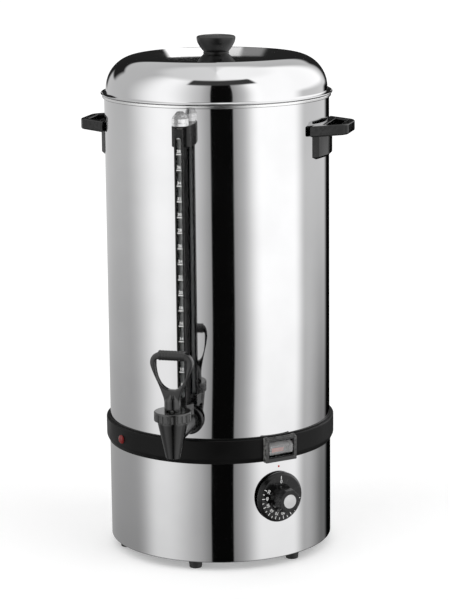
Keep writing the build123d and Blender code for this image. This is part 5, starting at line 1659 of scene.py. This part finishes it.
@dataclass
class Gauge:
    """Level gauge: glass tube in a slotted guard, between a nut and a bracket with a clear cap."""

    y: float = -167.0
    tube_radius: float = 4.0
    tube_bore: float = 2.7
    tube_z: tuple[float, float] = (205.0, 550.8)
    nut: tuple[float, float, float] = (12.0, 207.0, 220.2)
    guard_z: tuple[float, float] = (220.2, 553.8)
    guard_front: float = 176.5
    guard_width: float = 11.2
    guard_depth: float = 18.0
    guard_wall: float = 1.5
    slit: tuple[float, float, float] = (228.2, 543.3, 6.8)
    bracket_z: tuple[float, float] = (531.0, 556.5)
    bracket_width: float = 23.0
    bracket_front: float = 169.5
    cap_radius: float = 10.3
    cap_height: float = 17.0
    mark_step: float = 18.8
    mark_foot: float = 166.4
    marks: tuple[int, int] = (4, 20)

    def tube(self) -> None:
        """Glass tube with fire-polished ends."""
        low, high = self.tube_z
        line = Outline(self.tube_bore, low).to(self.tube_radius, low, 0.3, 3)
        line.to(self.tube_radius, high, 0.3, 3).to(self.tube_bore, high, 0.3, 3)
        tube = Solid.turned(line.close(0.3, 3), 48).place(upright(0, self.y))
        tube.piece("glass_tube", Body.URN, Slot.TUBE_GLASS, "tube_glass", ["sight_tube"])

    def scale(self) -> None:
        """Clear strip behind the slit, with printed marks and plain numbers up its front."""
        low, high, width = self.slit
        middle = (low + high) / 2
        back = self.guard_wall - self.guard_front
        strip = Solid.pressed(oblong(width + 1.2, high - low + 3, 0.4), 0.4)
        strip.place(upright(0, back + 0.45, middle))
        strip.piece("scale_strip", Body.URN, Slot.CLEAR_PLASTIC, "clear_strip")
        ink = Solid()
        for count in range(self.marks[0], self.marks[1] + 1):
            z = self.mark_foot + self.mark_step * count
            figures = lettering(str(2 * count), 3.6, 0.06, 0.22)
            ink.join(Solid.pressed(oblong(6.2, 1.5), 0.06).place(upright(0, 0, z)))
            ink.join(figures.place(upright(0, 0, z + 3.4)))
        ink.place(upright(0, back + 0.06))
        ink.piece("scale_marks", Body.URN, Slot.WHITE_PLASTIC, "white_print", even=False)

    def lower_nut(self) -> None:
        """Hexagon nut with turned-down corners."""
        radius, low, high = self.nut
        hexagon = prism(radius, low, high, 6)
        cone = Outline(0, low - 1).to(radius - 1, low - 1).to(radius + 0.8, low + 1.2)
        cone.to(radius + 0.8, high - 1.2).to(radius - 1, high + 0.2)
        hexagon.combine("INTERSECT", [Solid.turned(cone.to(0, high + 0.2), 96)])
        hexagon.carve(disc(4.25, low - 2, high + 2), disc(9.05, low - 2, low + 4))
        hexagon.soften(0.25, 2, 40).place(upright(0, self.y))
        hexagon.piece("hex_nut", Body.URN, Slot.BLACK_PLASTIC, "tap_black", ["gauge_lower_nut"], sharp=25)

    def guard(self) -> None:
        """Channel guard with a long slit, open towards the barrel."""
        half = self.guard_width / 2
        inner = half - self.guard_wall
        back = -self.guard_front + self.guard_depth
        face = -self.guard_front
        line = Outline(-half, back).to(-half, face, 1.2, 5).to(half, face, 1.2, 5).to(half, back)
        floor = face + self.guard_wall
        line.to(inner, back).to(inner, floor, 0.4, 3).to(-inner, floor, 0.4, 3)
        channel = Solid.slab(line.to(-inner, back).close(), *self.guard_z)
        low, high, width = self.slit
        bar = Solid.pressed(slot_hole(high - low, width), 12).place(upright(0, face + 6, (low + high) / 2))
        channel.carve(bar)
        near = face + FINE

        def at_slit(edge: bmesh.types.BMEdge) -> bool:
            """Tell whether an edge runs round the slit's front."""
            return all(v.co.y < near and abs(v.co.x) < width / 2 + FINE for v in edge.verts)

        channel.soften(0.4, 3, 60, at_slit)
        channel.piece("slotted_guard", Body.URN, Slot.BLACK_PLASTIC, "guard_black", ["gauge_guard"])

    def bracket(self) -> None:
        """Top bracket that carries the guard and the cap."""
        half = self.bracket_width / 2
        low, high = self.bracket_z
        line = Outline(-half, -130).to(-half, -self.bracket_front, 6.5, 9)
        line.to(half, -self.bracket_front, 6.5, 9).to(half, -130)
        block = Solid.slab(line.close(), low, high)
        block.soften(1.4, 4, 60, level_in(2))
        block.carve(
            disc(140.05, low - 5, high + 5, steps=ROUND),
            Solid.slab(oblong(11.5, 36, 0, 0, -176.3), low - 5, high - 2.5),
            disc(1.95, low, high + 5, steps=32).place(upright(0, self.y)),
        )
        block.piece("guard_bracket", Body.URN, Slot.BLACK_PLASTIC, "bracket_black", ["gauge_top_bracket"])

    def cap(self) -> None:
        """Clear faceted cap on a thin stem."""
        low = self.bracket_z[1]
        line = Outline(0, low)
        for rise, share in ((0, 0.94), (0.09, 1.0), (0.52, 1.0), (0.76, 0.76), (1.0, 0.34)):
            line.to(share * self.cap_radius, low + rise * self.cap_height)
        gem = Solid.turned(line.to(0, low + self.cap_height), 10)
        gem.soften(0.25, 2, 12)
        gem.weld(disc(1.9, low - 8.5, low + 2, steps=32)).place(upright(0, self.y))
        gem.piece("faceted_cap", Body.URN, Slot.CLEAR_PLASTIC, "clear_plastic", ["gauge_cap"], sharp=8)

    def build(self) -> None:
        """Build the gauge."""
        self.tube()
        self.scale()
        self.lower_nut()
        self.guard()
        self.bracket()
        self.cap()
        dress(["gauge_lower_seal", "gauge_top_seal"], "seal_silicone")
        dress(["gauge_bracket_screw"], "plated_steel")


@dataclass
class Controls:
    """Thermostat knob, rocker switch, pilot lamp and mains inlet."""

    azimuth: float = CONTROLS_AZIMUTH
    dial_z: float = 90.5
    dial_plane: float = 142.5
    skirt_radius: float = 31.5
    skirt_edge: float = 3.0
    skirt_height: float = 6.5
    skirt_face: float = 28.3
    hub: tuple[float, float, float] = (18.2, 14.6, 20.0)
    dial_cap: float = 8.7
    first_mark: int = 30
    last_mark: int = 110
    first_angle: float = 151.0
    mark_angle: float = 25.0
    frame_size: tuple[float, float] = (44.0, 31.7)
    frame_plane: float = 149.5
    ridges: int = 5
    switch_size: tuple[float, float] = (35.7, 22.0)
    switch_plane: float = 148.5
    rocker_plane: float = 140.0
    rocker_tilt: float = 8.0
    rocker_half: float = 16.65
    insert_shift: float = -4.5
    inlet_z: float = 71.0

    def dial(self) -> None:
        """Knob: skirt with a chamfered face, and an eight-sided tapered hub."""
        radius = self.skirt_radius
        line = Outline(0, 3).to(27, 3, 0.4, 3).to(27, 0, 0.2, 2).to(radius, 0, 0.4, 3)
        line.to(radius, self.skirt_edge, 0.5, 4).to(self.skirt_face, self.skirt_height, 0.6, 4)
        knob = Solid.turned(line.to(0, self.skirt_height), 128)
        foot, top, height = self.hub
        hub = Solid()
        bmesh.ops.create_cone(
            hub.bm, cap_ends=True, cap_tris=False, segments=8, radius1=foot, radius2=top, depth=height + 1
        )
        hub.soften(0.8, 4, 30, lambda e: min(v.co.z for v in e.verts) > -height / 2)
        hub.place(upright(0, 0, self.skirt_height + height / 2 - 0.5))
        hub.place(rotated(22.5, "Z"))
        face = self.skirt_height + height
        knob.weld(hub, disc(6, 0, 4))
        knob.carve(disc(self.dial_cap + 0.05, face - 1, face + 2), disc(3.05, -2, face - 10, steps=32))
        knob.place(facing(self.azimuth, self.dial_plane, self.dial_z))
        knob.piece("dial_skirt_and_hub", Body.DIAL, Slot.BLACK_GLOSS, "dial_black", ["dial_knob"], 30)

    def dial_disc(self) -> None:
        """Pale disc let into the hub."""
        face = self.skirt_height + self.hub[2] - 1
        line = Outline(0, face).to(self.dial_cap, face).to(self.dial_cap, face + 1.6, 0.5, 5)
        cap = Solid.turned(line.to(0, face + 1.75), 96)
        cap.place(facing(self.azimuth, self.dial_plane, self.dial_z))
        cap.piece("dial_disc", Body.DIAL, Slot.WHITE_PLASTIC, "dial_pale", ["dial_cap"])

    def dial_scale(self) -> None:
        """Printed marks: nought at the top, then tens of degrees down the left and round."""
        plane = self.dial_plane + self.skirt_height
        ink = Solid.pressed(oblong(1.1, 4.2), 0.08).place(upright(0, 0, 25.6))
        ink.join(lettering("0", 4.4, 0.08, 0.12).place(upright(0, 0, 20.4)))
        marks = 2 * (self.last_mark - self.first_mark) // 10
        for k in range(marks + 1):
            angle = self.first_angle + self.mark_angle * k / 2
            whole = k % 2 == 0
            turn = rotated(90 - angle, "Y")
            length = 4.2 if whole else 2.6
            ink.join(Solid.pressed(oblong(0.9, length), 0.08).place(turn @ upright(0, 0, 27.7 - length / 2)))
            if whole:
                spot = (20.2 * math.cos(math.radians(angle)), 0.0, 20.2 * math.sin(math.radians(angle)))
                figures = lettering(str(self.first_mark + 5 * k), 3.6, 0.08, 0.14)
                ink.join(figures.place(Matrix.Translation(spot) @ turn))
        ink.place(outward(self.azimuth, plane, self.dial_z))
        ink.piece("dial_marks", Body.DIAL, Slot.WHITE_PLASTIC, "white_print", even=False)

    def frame(self) -> None:
        """Switch surround with ridges down its sloping top."""
        width, height = self.frame_size
        hole = oblong(self.switch_size[0] + 0.1, self.switch_size[1] + 0.1, 0.5)
        depth = self.frame_plane - 138
        surround = Solid.pressed(oblong(width, height, 0.8), depth, [hole])
        surround.soften(0.5, 3, 50, at_front(depth))
        side = rotated(90, "Z")
        slope = 0.4
        foot = height / 2 - 8 * slope
        wedge = Outline(-depth - 1, foot - slope).to(8 - depth, height / 2).to(8 - depth, height)
        wedge.to(-depth - 1, height)
        surround.carve(Solid.pressed(wedge.close(), width + 2).place(upright(-width / 2 - 1) @ side))
        for k in range(self.ridges):
            back = 0.9 + 1.7 * k
            rib = disc(0.62, 0.8 - width / 2, width / 2 - 0.8, 0.2, 20)
            place = upright(0, back - depth, foot + slope * back + 0.15)
            surround.weld(rib.place(place @ rotated(90, "Y")))
        surround.place(outward(self.azimuth, 138, CONTROLS_Z))
        surround.carve(disc(145.05, 120, 190, steps=ROUND))
        surround.piece("ridged_switch_frame", Body.URN, Slot.BLACK_PLASTIC, "frame_black", ["switch_frame"])

    def housing(self) -> None:
        """Switch housing, open at the front."""
        width, height = self.switch_size
        box = Solid.pressed(oblong(width, height, 0.6), 30).soften(0.2, 2, 50, at_front(30))
        box.carve(Solid.pressed(oblong(width - 2, height - 2, 0.4), 30).place(upright(0, -11.3)))
        box.place(outward(self.azimuth, self.switch_plane - 30, CONTROLS_Z))
        box.piece("switch_box", Body.URN, Slot.BLACK_PLASTIC, "guard_black", ["switch_housing"])

    def rocker_place(self) -> Matrix:
        """Place of the rocker's pivot, tilted as it rests."""
        tilt = rotated(self.rocker_tilt, "X")
        return outward(self.azimuth, self.rocker_plane, CONTROLS_Z) @ tilt

    def rocker(self) -> None:
        """Clear rocker with a hollow for its insert, on two pegs."""
        half = self.rocker_half
        line = Outline(-3, -5).to(3, -9.2, 0.6, 3).to(9.5, -4.8, 0.9, 4).to(9.5, 4.8, 0.9, 4)
        body = Solid.pressed(line.to(3, 9.2, 0.6, 3).to(-3, 5).close(), 2 * half)
        body.soften(0.5, 3, 60, lambda e: min(v.co.x for v in e.verts) > 2)
        body.place(upright(half) @ rotated(-90, "Z"))
        hollow = Solid.pressed(oblong(17.2, 5.4, 0.3), 3.7).place(upright(self.insert_shift, -4.2))
        body.weld(disc(1.5, 0, 2 * half + 2.2, 0.2, 32).place(facing(90, -half - 1.1, 0))).carve(hollow)
        body.place(self.rocker_place())
        body.piece("clear_rocker", Body.ROCKER, Slot.CLEAR_PLASTIC, "rocker_clear", ["switch_rocker"])

    def insert(self) -> None:
        """Red insert inside the rocker."""
        bar = Solid.pressed(oblong(17.0, 5.2, 0.3), 3.6).soften(0.2, 2, 50)
        bar.place(self.rocker_place() @ upright(self.insert_shift, -4.25))
        bar.piece("red_bar", Body.ROCKER, Slot.RED_INSERT, "red_insert", ["rocker_insert"])

    def lamp(self) -> None:
        """Pilot lamp's domed lens."""
        line = Outline(0, 0).to(5.1, 0, 0.3, 2).to(5.1, 5.1).to(5.6, 5.1, 0.2, 2).to(5.6, 7.2, 1.9, 8)
        lens = Solid.turned(line.to(3.2, 7.95, 0.8, 4).to(0, 8.2), 64)
        lens.place(facing(LAMP_AZIMUTH, 140, CONTROLS_Z))
        lens.piece("lamp_lens", Body.URN, Slot.RED_LENS, "red_lens", ["pilot_lens"])

    def inlet(self) -> None:
        """Mains inlet at the back: flange, socket, three pins and two screws."""
        hole = oblong(24.2, 16.4, 1.2)
        flange = Solid.pressed(oblong(50, 27.5, 3.0), 9, [hole])
        flange.soften(0.7, 3, 50, at_front(9))
        flange.place(outward(180, 135, self.inlet_z)).carve(disc(141.05, 20, 120, steps=ROUND))
        back = Solid.pressed(oblong(27.6, 20, 1.0), 20).place(outward(180, 122, self.inlet_z))
        socket = Solid.pressed(oblong(24.2, 16.4, 1.2), 30).place(outward(180, 127, self.inlet_z))
        screw_ways = [
            disc(1.65, 0, 12, steps=32).place(facing(180, 134, self.inlet_z) @ upright(side * 20, 0, 0))
            for side in (-1, 1)
        ]
        flange.weld(back).carve(socket, *screw_ways)
        flange.piece("mains_inlet", Body.URN, Slot.BLACK_PLASTIC, "socket_black", ["appliance_inlet"])
        pins = Solid()
        for across, up in ((-7, -2.5), (7, -2.5), (0, 2.5)):
            pin = Solid.pressed(oblong(1.9, 3.9, 0.5, across, up), 24)
            pins.join(pin.soften(0.4, 3, 50, at_front(24)))
        pins.place(outward(180, 117, self.inlet_z))
        pins.piece("inlet_blades", Body.URN, Slot.COPPER_BRASS, "plated_steel", ["inlet_pins"])
        line = Outline(0, -9.5).to(1.6, -9.5, 0.3, 2).to(1.6, 0).to(3.2, 0, 0.1, 2).to(3.2, 0.7, 0.3, 3)
        screw = Solid.turned(line.to(2.0, 1.5, 0.5, 3).to(0, 1.6), 48).cross(3.6, 0.7, 0.7, 3, 20)
        place = facing(180, 144, self.inlet_z)
        screw.repeat([place @ upright(-20), place @ upright(20)])
        screw.piece("inlet_fixings", Body.URN, Slot.PLATED_STEEL, "plated_steel", ["inlet_screws"])

    def build(self) -> None:
        """Build the controls."""
        self.dial()
        self.dial_disc()
        self.dial_scale()
        self.frame()
        self.housing()
        self.rocker()
        self.insert()
        self.lamp()
        self.inlet()
        dress(["thermostat_shaft", "thermostat_nut", "thermostat_bracket"], "plated_steel")
        dress(["thermostat_body"], "socket_black")
        dress(["pilot_body"], "lamp_body")


def main() -> None:
    """Build the urn and its studio."""
    logging.basicConfig(level=logging.INFO, format="%(message)s")
    for part in (Barrel(), Base(), Lid(), Handles(), Tap(), Gauge(), Controls()):
        part.build()
        LOG.info("%s done", type(part).__name__)
    Studio().build()


if __name__ == "__main__":
    main()
